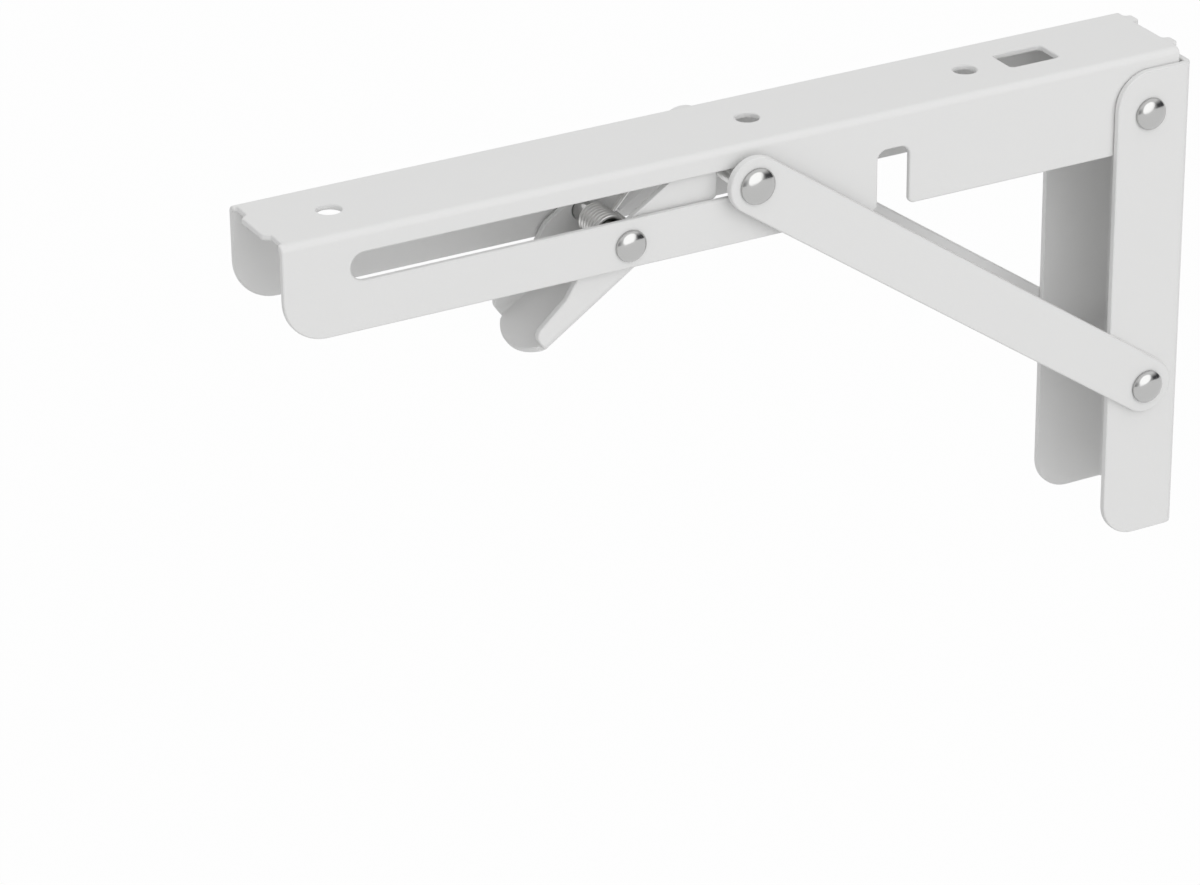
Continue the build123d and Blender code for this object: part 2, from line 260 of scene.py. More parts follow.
@dataclass(frozen=True)
class Effect:
    """Surface effect that several materials share, kept in one node group.

    Attributes:
        name: Name of the node group.
        inputs: Names and starting values of its inputs.
        outputs: Names of its outputs.
    """

    name: str
    inputs: tuple[tuple[str, float], ...]
    outputs: tuple[str, ...]

    def wire(self, board: Board, inlet: bpy.types.Node, outlet: bpy.types.Node) -> None:
        """Lays the nodes between the group's inputs and outputs.

        Args:
            board: The group's board.
            inlet: Node that holds the group's inputs.
            outlet: Node that takes the group's outputs.
        """
        raise NotImplementedError

    def group(self) -> bpy.types.NodeTree:
        """Builds the node group once.

        Returns:
            The group, new or as built before.
        """
        tree = bpy.data.node_groups.get(self.name)
        if tree:
            return tree
        tree = bpy.data.node_groups.new(self.name, "ShaderNodeTree")
        for name, value in self.inputs:
            socket = tree.interface.new_socket(name, in_out="INPUT", socket_type="NodeSocketFloat")
            socket.default_value = value
        for name in self.outputs:
            tree.interface.new_socket(name, in_out="OUTPUT", socket_type="NodeSocketFloat")
        board = Board(tree)
        self.wire(board, board.place("NodeGroupInput"), board.place("NodeGroupOutput"))
        return tree

    def place(self, board: Board, **inputs: object) -> bpy.types.Node:
        """Puts the effect into a material.

        Args:
            board: The material's board.
            **inputs: Values or sockets for the group's inputs.

        Returns:
            The group node.
        """
        node = board.place("ShaderNodeGroup", node_tree=self.group())
        return board.feed(node, **inputs)


@dataclass(frozen=True)
class Ripple(Effect):
    """Soft waviness of a flowed coat or plate, as a height.

    Attributes:
        fine_scale: Size of its fine waves as a share of the coarse ones.
    """

    name: str = "surface_ripple"
    inputs: tuple[tuple[str, float], ...] = (("Size", 1.2 * MM), ("Fine Share", 0.35))
    outputs: tuple[str, ...] = ("Height",)
    fine_scale: float = 0.27

    def wire(self, board: Board, inlet: bpy.types.Node, outlet: bpy.types.Node) -> None:
        """Adds a coarse and a fine noise.

        Args:
            board: The group's board.
            inlet: Node that holds the size and the fine share.
            outlet: Node that takes the height.
        """
        place = board.surface_place()
        coarse = board.noise(place, inlet.outputs["Size"], detail=1.0)
        fine_size = board.maths("MULTIPLY", inlet.outputs["Size"], self.fine_scale)
        fine = board.noise(place, fine_size, detail=2.0)
        fine = board.maths("MULTIPLY", fine, inlet.outputs["Fine Share"])
        board.feed(outlet, height=board.maths("ADD", coarse, fine))


@dataclass(frozen=True)
class EdgeThinningAndRimShade(Effect):
    """Broken line along rolled edges: thin coat, and painted rim shade on the plate.

    Attributes:
        patch_range: Noise values between which a patch fades in.
        least: Share of the edge mark that is left between patches.
    """

    name: str = "edge_thinning"
    inputs: tuple[tuple[str, float], ...] = (("Patch Size", 3.0 * MM), ("Amount", 0.5))
    outputs: tuple[str, ...] = ("Mask",)
    patch_range: tuple[float, float] = (0.35, 0.65)
    least: float = 0.35

    def wire(self, board: Board, inlet: bpy.types.Node, outlet: bpy.types.Node) -> None:
        """Multiplies the edge attribute by a patchy noise.

        Args:
            board: The group's board.
            inlet: Node that holds the patch size and the amount.
            outlet: Node that takes the mask.
        """
        edge = board.place("ShaderNodeAttribute", attribute_name=EDGE_ATTRIBUTE).outputs["Fac"]
        size = inlet.outputs["Patch Size"]
        patches = board.noise(board.surface_place(), size, detail=3.0, roughness=0.6)
        broken = board.spread(patches, self.patch_range, (self.least, 1.0))
        mask = board.maths("MULTIPLY", edge, broken)
        board.feed(outlet, mask=board.maths("MULTIPLY", mask, inlet.outputs["Amount"], clamp=True))


@dataclass(frozen=True)
class Handling(Effect):
    """Faint smears around zero and specks of dust, from handling.

    Attributes:
        smear_range: Noise values that give the least and the most smear.
        smear_swing: Least and most smear.
        speck_size: Size of a speck, in metres.
        speck_range: Noise values between which a speck fades in.
    """

    name: str = "handling_marks"
    inputs: tuple[tuple[str, float], ...] = (("Size", 14.0 * MM),)
    outputs: tuple[str, ...] = ("Smear", "Dust")
    smear_range: tuple[float, float] = (0.3, 0.7)
    smear_swing: tuple[float, float] = (-0.5, 0.5)
    speck_size: float = 0.45 * MM
    speck_range: tuple[float, float] = (0.66, 0.74)

    def wire(self, board: Board, inlet: bpy.types.Node, outlet: bpy.types.Node) -> None:
        """Adds a slow smear and a speckle of dust.

        Args:
            board: The group's board.
            inlet: Node that holds the smears' size.
            outlet: Node that takes the smear and the dust.
        """
        place = board.surface_place()
        slow = board.noise(place, inlet.outputs["Size"], detail=3.0, roughness=0.55)
        speck = board.noise(place, self.speck_size, detail=1.0)
        smear = board.spread(slow, self.smear_range, self.smear_swing)
        board.feed(outlet, smear=smear, dust=board.spread(speck, self.speck_range))


@dataclass(frozen=True)
class ToolLines(Effect):
    """Fine lines that a die or a cutting tool leaves on a metal piece."""

    name: str = "tool_lines"
    inputs: tuple[tuple[str, float], ...] = (("Width", 0.12 * MM), ("Stretch", 14.0))
    outputs: tuple[str, ...] = ("Lines",)

    def wire(self, board: Board, inlet: bpy.types.Node, outlet: bpy.types.Node) -> None:
        """Stretches a noise along X and Z, so that its lines run across Y.

        Args:
            board: The group's board.
            inlet: Node that holds the lines' width and stretch.
            outlet: Node that takes the lines.
        """
        parts = board.feed(board.place("ShaderNodeSeparateXYZ"), vector=board.surface_place())
        stretch = inlet.outputs["Stretch"]
        x = board.maths("DIVIDE", parts.outputs["X"], stretch)
        z = board.maths("DIVIDE", parts.outputs["Z"], stretch)
        joined = board.feed(board.place("ShaderNodeCombineXYZ"), x=x, y=parts.outputs["Y"], z=z)
        board.feed(outlet, lines=board.noise(joined.outputs[0], inlet.outputs["Width"], detail=2.0))


# Finishes


@dataclass(frozen=True)
class Finish:
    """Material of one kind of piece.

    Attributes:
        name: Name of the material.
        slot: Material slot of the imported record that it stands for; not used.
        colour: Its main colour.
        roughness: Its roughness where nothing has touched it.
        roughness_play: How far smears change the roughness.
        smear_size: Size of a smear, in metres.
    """

    name: str
    slot: str
    colour: Colour
    roughness: float
    roughness_play: float
    smear_size: float

    def wire(self, board: Board, shader: bpy.types.Node) -> None:
        """Lays the nodes that feed the shader.

        Args:
            board: The material's board.
            shader: The shader that they feed.
        """
        raise NotImplementedError

    def material(self) -> bpy.types.Material:
        """Builds the material once.

        Returns:
            The material, new or as built before.
        """
        made = bpy.data.materials.get(self.name)
        if made:
            return made
        made = bpy.data.materials.new(self.name)
        made.use_nodes = True
        made.node_tree.nodes.clear()
        board = Board(made.node_tree)
        shader = board.place("ShaderNodeBsdfPrincipled")
        output = board.place("ShaderNodeOutputMaterial")
        board.feed(output, surface=shader.outputs["BSDF"])
        self.wire(board, shader)
        return made

    def smear(self, board: Board, shader: bpy.types.Node) -> bpy.types.Node:
        """Lets handling change the roughness.

        Args:
            board: The material's board.
            shader: The shader that gets the roughness.

        Returns:
            The node of the handling marks.
        """
        marks = Handling().place(board, size=self.smear_size)
        play = board.maths("MULTIPLY", marks.outputs["Smear"], self.roughness_play)
        board.feed(shader, roughness=board.maths("ADD", play, self.roughness))
        return marks


@dataclass(frozen=True)
class PowderCoat(Finish):
    """Satin white powder coat on pressed steel.

    Attributes:
        thin_coat_and_rim_shade_colour: Colour where the coat lies thin on an edge.
        thin_coat_and_rim_shade_patch: Size of a thin patch, in metres.
        thin_coat_and_rim_shade_amount: Strength of the thin patches.
        dust_colour: Colour of a speck of dust.
        dust_amount: Strength of the dust.
        specular: Strength of its mirror reflection.
        peel_size: Size of a ripple of the coat, in metres.
        peel_fine_share: Strength of its finer ripples.
        peel_depth: Height of the ripples, in metres.
    """

    name: str = "white_powder_coat"
    slot: str = "coated_steel"
    colour: Colour = (0.80, 0.80, 0.795, 1.0)
    roughness: float = 0.55
    roughness_play: float = 0.07
    smear_size: float = 18.0 * MM
    thin_coat_and_rim_shade_colour: Colour = (0.66, 0.66, 0.655, 1.0)
    thin_coat_and_rim_shade_patch: float = 4.0 * MM
    thin_coat_and_rim_shade_amount: float = 0.30
    dust_colour: Colour = (0.70, 0.69, 0.67, 1.0)
    dust_amount: float = 0.10
    specular: float = 0.35
    peel_size: float = 1.5 * MM
    peel_fine_share: float = 0.3
    peel_depth: float = 0.012 * MM

    def wire(self, board: Board, shader: bpy.types.Node) -> None:
        """Feeds colour, roughness and relief from the shared effects.

        Args:
            board: The material's board.
            shader: The shader that they feed.
        """
        thin = EdgeThinningAndRimShade().place(board, patch_size=self.thin_coat_and_rim_shade_patch, amount=self.thin_coat_and_rim_shade_amount)
        peel = Ripple().place(board, size=self.peel_size, fine_share=self.peel_fine_share)
        marks = self.smear(board, shader)
        surface_colour = board.blend(thin.outputs["Mask"], self.colour, self.thin_coat_and_rim_shade_colour)
        dusty = board.maths("MULTIPLY", marks.outputs["Dust"], self.dust_amount)
        board.feed(shader, base_color=board.blend(dusty, surface_colour, self.dust_colour))
        board.feed(shader, specular_ior_level=self.specular)
        board.relief(shader, peel.outputs["Height"], self.peel_depth)


@dataclass(frozen=True)
class BrightPlate(Finish):
    """Bright plate on a rivet's head and peened end.

    Attributes:
        thin_coat_and_rim_shade_colour: Painted shade, a dark colour on marked edges that
            stands in for the shade and dark reflection round a head's rim.
        thin_coat_and_rim_shade_patch: Size of a patch of the painted rim shade, in metres.
        thin_coat_and_rim_shade_amount: Strength of the painted rim shade.
        ripple_size: Size of a ripple of the plate, in metres.
        ripple_fine_share: Strength of its finer ripples.
        ripple_depth: Height of the ripples, in metres.
    """

    name: str = "bright_nickel_plate"
    slot: str = "bright_steel"
    colour: Colour = (0.50, 0.50, 0.495, 1.0)
    roughness: float = 0.15
    roughness_play: float = 0.08
    smear_size: float = 2.5 * MM
    # Painted shade: a dark rim colour in place of the shade and dark reflection round a head's rim.
    thin_coat_and_rim_shade_colour: Colour = (0.31, 0.307, 0.298, 1.0)
    thin_coat_and_rim_shade_patch: float = 1.5 * MM
    thin_coat_and_rim_shade_amount: float = 0.7
    ripple_size: float = 1.6 * MM
    ripple_fine_share: float = 0.25
    ripple_depth: float = 0.010 * MM

    def wire(self, board: Board, shader: bpy.types.Node) -> None:
        """Feeds a rippled metal's colour with a painted rim shade, its roughness and relief.

        Args:
            board: The material's board.
            shader: The shader that they feed.
        """
        # The edge mask mixes in the painted rim shade wherever the rolled-edge attribute is set.
        thin = EdgeThinningAndRimShade().place(board, patch_size=self.thin_coat_and_rim_shade_patch, amount=self.thin_coat_and_rim_shade_amount)
        ripple = Ripple().place(board, size=self.ripple_size, fine_share=self.ripple_fine_share)
        surface_colour = board.blend(thin.outputs["Mask"], self.colour, self.thin_coat_and_rim_shade_colour)
        board.feed(shader, base_color=surface_colour, metallic=1.0)
        self.smear(board, shader)
        board.relief(shader, ripple.outputs["Height"], self.ripple_depth)


@dataclass(frozen=True)
class LinedMetal(Finish):
    """Metal with the fine lines of the tool that made it.

    Attributes:
        groove_colour: Colour inside a line.
        groove_amount: Strength of the lines' colour.
        line_width: Width of a line, in metres.
        line_stretch: Length of a line as a multiple of its width.
        line_depth: Depth of a line, in metres.
    """

    groove_colour: Colour
    groove_amount: float
    line_width: float
    line_stretch: float
    line_depth: float

    def wire(self, board: Board, shader: bpy.types.Node) -> None:
        """Feeds a lined metal's colour, roughness and relief.

        Args:
            board: The material's board.
            shader: The shader that they feed.
        """
        lines = ToolLines().place(board, width=self.line_width, stretch=self.line_stretch)
        shade = board.maths("MULTIPLY", lines.outputs["Lines"], self.groove_amount)
        surface_colour = board.blend(shade, self.colour, self.groove_colour)
        board.feed(shader, base_color=surface_colour, metallic=1.0)
        self.smear(board, shader)
        board.relief(shader, lines.outputs["Lines"], self.line_depth)


@dataclass(frozen=True)
class TurnedSteel(LinedMetal):
    """Duller plate on a shank or a washer."""

    name: str = "turned_plated_steel"
    slot: str = "bright_steel"
    colour: Colour = (0.66, 0.66, 0.65, 1.0)
    roughness: float = 0.28
    roughness_play: float = 0.12
    smear_size: float = 4.0 * MM
    groove_colour: Colour = (0.52, 0.52, 0.51, 1.0)
    groove_amount: float = 0.6
    line_width: float = 0.14 * MM
    line_stretch: float = 10.0
    line_depth: float = 0.006 * MM


@dataclass(frozen=True)
class SpringWire(LinedMetal):
    """Drawn spring wire."""

    name: str = "drawn_spring_wire"
    slot: str = "spring_steel"
    colour: Colour = (0.80, 0.795, 0.785, 1.0)
    roughness: float = 0.34
    roughness_play: float = 0.10
    smear_size: float = 3.0 * MM
    groove_colour: Colour = (0.60, 0.595, 0.585, 1.0)
    groove_amount: float = 1.0
    line_width: float = 0.10 * MM
    line_stretch: float = 18.0
    line_depth: float = 0.005 * MM


# Mesh work


def centre_of(node: str) -> Vector:
    """Middle of a solid's box, in metres."""
    low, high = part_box(node)
    return (low + high) / 2


def only(kind: type, items: list) -> list:
    """Elements of one kind, from a list that an operator gives back."""
    return [item for item in items if isinstance(item, kind)]


def round_edges(mesh: bmesh.types.BMesh, width: float) -> None:
    """Rounds the edges where the surface turns sharply and marks the new faces.

    Args:
        mesh: The mesh to work on.
        width: How far the round reaches from the edge, in the mesh's units.
    """
    layer = mesh.loops.layers.float.new(EDGE_ATTRIBUTE)
    sharp = [
        edge
        for edge in mesh.edges
        if len(edge.link_faces) == 2 and edge.calc_face_angle() > SHARP_TURN
    ]
    made = bmesh.ops.bevel(
        mesh,
        geom=sharp,
        offset=width,
        offset_type="OFFSET",
        segments=EDGE_STEPS,
        profile=0.5,
        affect="EDGES",
        clamp_overlap=False,
        loop_slide=False,
        material=-1,
    )
    for face in made["faces"]:
        for loop in face.loops:
            loop[layer] = 1.0


def full_turn(mesh: bmesh.types.BMesh, outline: Geometry, centre: Vector) -> None:
    """Turns an outline into a closed round shape about an axis across the bracket.

    Args:
        mesh: The mesh to work on.
        outline: Vertices and edges of the outline.
        centre: A point on the axis.
    """
    bmesh.ops.spin(
        mesh,
        geom=outline,
        cent=Vector((centre.x, 0, centre.z)),
        axis=ACROSS,
        angle=math.tau,
        steps=ROUND_SIDES,
        use_merge=True,
    )


def lengthen(mesh: bmesh.types.BMesh, ring: Geometry, way: Vector) -> Geometry:
    """Extrudes a ring of wire and moves the new one.

    Args:
        mesh: The mesh to work on.
        ring: Vertices and edges of the ring.
        way: How far the new ring is moved.

    Returns:
        Vertices and edges of the new ring.
    """
    made = bmesh.ops.extrude_edge_only(mesh, edges=only(bmesh.types.BMEdge, ring))["geom"]
    tip = only(bmesh.types.BMVert, made)
    bmesh.ops.translate(mesh, verts=tip, vec=way)
    edges = only(bmesh.types.BMEdge, made)
    return [*tip, *(edge for edge in edges if all(vert in tip for vert in edge.verts))]


def close_wire(mesh: bmesh.types.BMesh, *rings: Geometry) -> None:
    """Closes open ends of a wire and turns its faces outwards.

    Args:
        mesh: The mesh to work on.
        *rings: Vertices and edges of the rings to close.
    """
    for ring in rings:
        bmesh.ops.contextual_create(mesh, geom=only(bmesh.types.BMEdge, ring))
    bmesh.ops.recalc_face_normals(mesh, faces=mesh.faces)


def finish_piece(
    mesh: bmesh.types.BMesh, name: str, finish: Finish, body: Body, nodes: tuple[str, ...]
) -> bpy.types.Object:
    """Turns a finished bmesh into a piece that rides on its body.

    Args:
        mesh: The finished mesh, in the frame's place.
        name: Name of the piece.
        finish: Material of the piece.
        body: Body that it rides on.
        nodes: Solids that it stands for.

    Returns:
        The new object.
    """
    for face in mesh.faces:
        face.smooth = True
    data = bpy.data.meshes.new(name)
    mesh.to_mesh(data)
    mesh.free()
    data.materials.append(finish.material())
    piece = bpy.data.objects.new(name, data)
    bpy.context.scene.collection.objects.link(piece)
    normals = piece.modifiers.new("even_shading", "WEIGHTED_NORMAL")
    normals.keep_sharp = True
    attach(piece, body.value)
    if nodes:
        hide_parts(*nodes)
    log.info("%s: %d faces, rides on %s", name, len(data.polygons), body.value)
    return piece


@dataclass(frozen=True)
class Corner:
    """Corner of a flat outline.

    Attributes:
        x: Place along the sheet, in millimetres.
        y: Place across the sheet.
        radius: Radius of its round, or zero for a sharp corner.
    """

    x: float
    y: float
    radius: float = 0.0

    def mirrored(self) -> "Corner":
        """The same corner on the sheet's other half."""
        return Corner(self.x, -self.y, self.radius)


@dataclass
class Sheet:
    """Sheet steel that is punched flat, gets its cut edges rolled and is folded.

    It is worked in millimetres. X runs along its folds, the web's outer face
    lies on Z = 0 and the flanges rise along Z.

    Attributes:
        thickness: Thickness of the sheet.
        half_width: Half of its width outside, once folded.
        bend: Outer radius of its folds, or zero for a flat piece.
        edge: Round of its cut edges.
        bend_steps: Flat strips round each fold.
        loose_from: Beyond this X the flanges aren't joined to the web.
        mesh: The sheet as it is worked.
    """

    thickness: float
    half_width: float
    bend: float = 0.0
    edge: float = 0.4
    bend_steps: int = 7
    loose_from: float = math.inf
    mesh: bmesh.types.BMesh = field(default_factory=bmesh.new)

    def strip(self) -> float:
        """Width of one flat strip of a fold."""
        return 2 * self.bend * math.sin(math.pi / 4 / self.bend_steps)

    def fold_line(self, step: int = 0) -> float:
        """Distance across the flat sheet of one line of a fold."""
        return self.half_width - self.bend + step * self.strip()

    def flange(self, rise: float) -> float:
        """Distance across the flat sheet of a point that rises so far over the web's face."""
        return self.fold_line(self.bend_steps) + rise - self.bend

    def outline(self, corners: list[Corner]) -> None:
        """Draws a closed outline with rounded corners.

        Args:
            corners: Its corners in order; each round is spun as an arc.
        """
        points = [Vector((corner.x, corner.y, 0)) for corner in corners]
        chain = []
        for index, corner in enumerate(corners):
            before = (points[index] - points[index - 1]).normalized()
            after = (points[(index + 1) % len(points)] - points[index]).normalized()
            turn = math.atan2(before.cross(after).z, before.dot(after))
            cut_back = before * corner.radius * math.tan(abs(turn) / 2)
            start = self.mesh.verts.new(points[index] - cut_back)
            end = start
            if corner.radius > 0:
                inward = Vector((-before.y, before.x, 0)) * math.copysign(corner.radius, turn)
                arc = bmesh.ops.spin(
                    self.mesh,
                    geom=[start],
                    cent=start.co + inward,
                    axis=(0, 0, 1),
                    angle=turn,
                    steps=max(LEAST_ARC_STEPS, math.ceil(abs(turn) / ARC_STEP)),
                )
                end = only(bmesh.types.BMVert, arc["geom_last"])[0]
            chain.append((start, end))
        for (_, end), (start, _) in zip(chain, [*chain[1:], chain[0]]):
            self.mesh.edges.new((end, start))

    def hole(self, x: float, y: float, radius: float) -> None:
        """Draws a round hole.

        Args:
            x: Its place along the sheet.
            y: Its place across the flat sheet.
            radius: Its radius.
        """
        place = Matrix.Translation((x, y, 0))
        bmesh.ops.create_circle(self.mesh, segments=HOLE_SIDES, radius=radius, matrix=place)

    def flange_holes(self, x: float, rise: float, radius: float) -> None:
        """Draws the same round hole in both flanges.

        Args:
            x: Its place along the sheet.
            rise: Its height over the web's outer face, once folded.
            radius: Its radius.
        """
        for side in Side:
            self.hole(x, side.value * self.flange(rise), radius)

    def punch(self) -> None:
        """Fills the outlines, gives the sheet its thickness and rolls its cut edges."""
        mesh = self.mesh
        bmesh.ops.remove_doubles(mesh, verts=mesh.verts, dist=CLOSE)
        edges = mesh.edges[:]
        bmesh.ops.triangle_fill(
            mesh, use_beauty=True, use_dissolve=False, edges=edges, normal=(0, 0, 1)
        )
        made = bmesh.ops.extrude_face_region(mesh, geom=mesh.faces[:])
        raised = only(bmesh.types.BMVert, made["geom"])
        bmesh.ops.translate(mesh, verts=raised, vec=(0, 0, self.thickness))
        bmesh.ops.recalc_face_normals(mesh, faces=mesh.faces)
        round_edges(mesh, self.edge)

    def fold(self) -> None:
        """Cuts the flat sheet along the lines of its folds and turns the flanges up.

        A fold is turned in strips. The outermost line comes first, and each line
        turns all that lies beyond it; its own points turn half as far, so that
        the sheet keeps its thickness.
        """
        mesh = self.mesh
        for side in Side:
            for step in range(self.bend_steps + 1):
                line = ACROSS * side.value * self.fold_line(step)
                whole = [*mesh.verts, *mesh.edges, *mesh.faces]
                bmesh.ops.bisect_plane(
                    mesh, geom=whole, dist=CLOSE, plane_co=line, plane_no=ACROSS
                )
        strip_turn = math.pi / 2 / self.bend_steps
        for side in Side:
            for step in reversed(range(self.bend_steps + 1)):
                line = self.fold_line(step)
                turn = side.value * strip_turn / (2 if step in (0, self.bend_steps) else 1)
                own = [vert for vert in mesh.verts if side.value * vert.co.y > 0]
                beyond, seam = [], []
                for vert in own:
                    reach = side.value * vert.co.y - line
                    if reach > CLOSE or vert.co.x > self.loose_from:
                        beyond.append(vert)
                    elif reach > -CLOSE:
                        seam.append(vert)
                for verts, share in ((beyond, 1.0), (seam, 0.5)):
                    bmesh.ops.rotate(
                        mesh,
                        verts=verts,
                        cent=ACROSS * side.value * line,
                        matrix=Matrix.Rotation(share * turn, 3, "X"),
                    )

    def build(
        self, place: Matrix, name: str, finish: Finish, body: Body, node: str
    ) -> bpy.types.Object:
        """Folds the sheet, puts it in its place and dresses it.

        Args:
            place: Turn and place of the folded sheet, in millimetres.
            name: Name of the piece.
            finish: Material of the piece.
            body: Body that it rides on.
            node: Solid that it stands for.

        Returns:
            The piece.
        """
        self.punch()
        if self.bend:
            self.fold()
        self.mesh.transform(Matrix.Scale(MM, 4) @ place)
        bmesh.ops.remove_doubles(self.mesh, verts=self.mesh.verts, dist=CLOSE * MM)
        bmesh.ops.recalc_face_normals(self.mesh, faces=self.mesh.faces)
        return finish_piece(self.mesh, name, finish, body, (node,))


def rectangle(left: float, right: float, low: float, high: float, radius: float) -> list[Corner]:
    """Corners of a rectangle with rounded corners.

    Args:
        left: Lowest X.
        right: Highest X.
        low: Lowest Y.
        high: Highest Y.
        radius: Radius of every corner.

    Returns:
        Its four corners in order.
    """
    places = ((left, low), (right, low), (right, high), (left, high))
    return [Corner(x, y, radius) for x, y in places]


def with_mirror(half: list[Corner]) -> list[Corner]:
    """Closes a half outline with its mirror image across the sheet's middle.

    Args:
        half: Corners of one half in order; one on the middle line counts once.

    Returns:
        Corners of the whole outline.
    """
    return [*half, *(corner.mirrored() for corner in reversed(half) if corner.y)]


def basis(along: Vector, rise: Vector, origin: Vector) -> Matrix:
    """Matrix that lays a sheet's X along one direction and lets its flanges rise along another.

    Args:
        along: Direction of the sheet's X.
        rise: Direction of its Z.
        origin: Where its zero goes, in millimetres.

    Returns:
        The placing matrix.
    """
    turn = Matrix((along, rise.cross(along), rise)).transposed()
    return Matrix.Translation(origin) @ turn.to_4x4()


@dataclass(frozen=True)
class Rivet:
    """Rivet drawn as one half outline and turned round its axis, in metres.

    Attributes:
        name: Name of the piece.
        nodes: Solids that it stands for, whose common box gives its place and reach.
        body: Body that it rides on.
        shank: Radius of the shank.
        head_height: Height of the domed head.
        peen_height: Height of the peened end.
        ends: Forms of its near and far end.
        dome_steps: Steps from a dome's tip to its rim.
        fullness: Power that makes a dome fuller than an ellipse, below 1.
        rim: Height of a dome's upright rim.
        rim_lean: How far the rim leans in at its foot, as a share of its height.
        dimple: Depth of the dimple that the hammer leaves.
        peen_outline: Points of the peened end from its tip: shares of its radius,
            of its height, and of the dimple.
    """

    name: str
    nodes: tuple[str, ...]
    body: Body
    shank: float
    head_height: float = 2.2 * MM
    peen_height: float = 1.54 * MM
    ends: tuple[RivetEnd, RivetEnd] = (RivetEnd.DOMED, RivetEnd.PEENED)
    dome_steps: int = 12
    fullness: float = 0.94
    rim: float = 0.28 * MM
    rim_lean: float = 0.35
    dimple: float = 0.16 * MM
    peen_outline: tuple[tuple[float, float, float], ...] = (
        (0.0, 1.0, 1.0),
        (0.324, 1.0, 0.8),
        (0.54, 1.0, 0.0),
        (0.72, 1.0, 0.0),
        (0.93, 0.45, 0.0),
        (1.0, 0.12, 0.0),
        (1.0, 0.0, 0.0),
    )

    def reach(self) -> tuple[Vector, Vector]:
        """Measures all its solids together.

        Returns:
            Their lowest and highest corner.
        """
        boxes = [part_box(node) for node in self.nodes]
        low = Vector(min(box[0][axis] for box in boxes) for axis in range(3))
        high = Vector(max(box[1][axis] for box in boxes) for axis in range(3))
        return low, high

    def height(self, form: RivetEnd) -> float:
        """Height of one end over its seat."""
        heights = {RivetEnd.DOMED: self.head_height, RivetEnd.PEENED: self.peen_height}
        return heights.get(form, 0.0)

    def end_outline(self, form: RivetEnd, radius: float) -> list[tuple[float, float]]:
        """Draws one end from its tip on the axis to the root of the shank.

        Args:
            form: Form of the end.
            radius: Radius of the head.

        Returns:
            Distance from the axis and height over the seat, point by point.
        """
        if form is RivetEnd.PLAIN:
            return [(0, 0), (self.shank, 0)]
        if form is RivetEnd.PEENED:
            outline = [
                (radius * out, self.peen_height * high - self.dimple * sunk)
                for out, high, sunk in self.peen_outline
            ]
            return [*outline, (self.shank, 0)]
        dome = self.head_height - self.rim
        outline = []
        for step in range(self.dome_steps + 1):
            angle = math.pi / 2 * step / self.dome_steps
            out = radius * math.sin(angle) ** self.fullness
            outline.append((out, self.rim + dome * math.cos(angle) ** self.fullness))
        return [*outline, (radius - self.rim_lean * self.rim, 0), (self.shank, 0)]

    def build(self, finish: Finish) -> bpy.types.Object:
        """Turns the half outline round the rivet's axis.

        Args:
            finish: Material of the piece.

        Returns:
            The piece.
        """
        low, high = self.reach()
        centre = (low + high) / 2
        radius = (high.x - low.x) / 2
        near, far = (self.end_outline(form, radius) for form in self.ends)
        near_seat = low.y + self.height(self.ends[0])
        far_seat = high.y - self.height(self.ends[1])
        outline = [(out, near_seat - rise) for out, rise in near]
        outline += [(out, far_seat + rise) for out, rise in reversed(far)]
        mesh = bmesh.new()
        points = [mesh.verts.new((centre.x + out, y, centre.z)) for out, y in outline]
        chain = [mesh.edges.new(pair) for pair in zip(points, points[1:])]
        full_turn(mesh, [*points, *chain], centre)
        bmesh.ops.remove_doubles(mesh, verts=mesh.verts, dist=CLOSE * MM)
        bmesh.ops.dissolve_degenerate(mesh, dist=CLOSE * MM / 2, edges=mesh.edges)
        bmesh.ops.recalc_face_normals(mesh, faces=mesh.faces)
        return finish_piece(mesh, self.name, finish, self.body, self.nodes)


@dataclass(frozen=True)
class Washer:
    """Flat washer with rounded edges, in metres.

    Attributes:
        node: Solid that gives its place and outer size.
        body: Body that it rides on.
        bore: Radius of its hole.
        edge: Round of its edges.
    """

    node: str
    body: Body
    bore: float = 3.5 * MM
    edge: float = 0.22 * MM

    def build(self, finish: Finish) -> bpy.types.Object:
        """Turns a small rectangle round the axis and rounds its edges.

        Args:
            finish: Material of the piece.

        Returns:
            The piece.
        """
        low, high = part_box(self.node)
        centre = (low + high) / 2
        radius = (high.x - low.x) / 2
        corners = [(self.bore, low.y), (radius, low.y), (radius, high.y), (self.bore, high.y)]
        mesh = bmesh.new()
        points = [mesh.verts.new((centre.x + out, y, centre.z)) for out, y in corners]
        chain = [mesh.edges.new(pair) for pair in zip(points, [*points[1:], points[0]])]
        full_turn(mesh, [*points, *chain], centre)
        bmesh.ops.recalc_face_normals(mesh, faces=mesh.faces)
        round_edges(mesh, self.edge)
        return finish_piece(mesh, f"{self.node}_ring", finish, self.body, (self.node,))


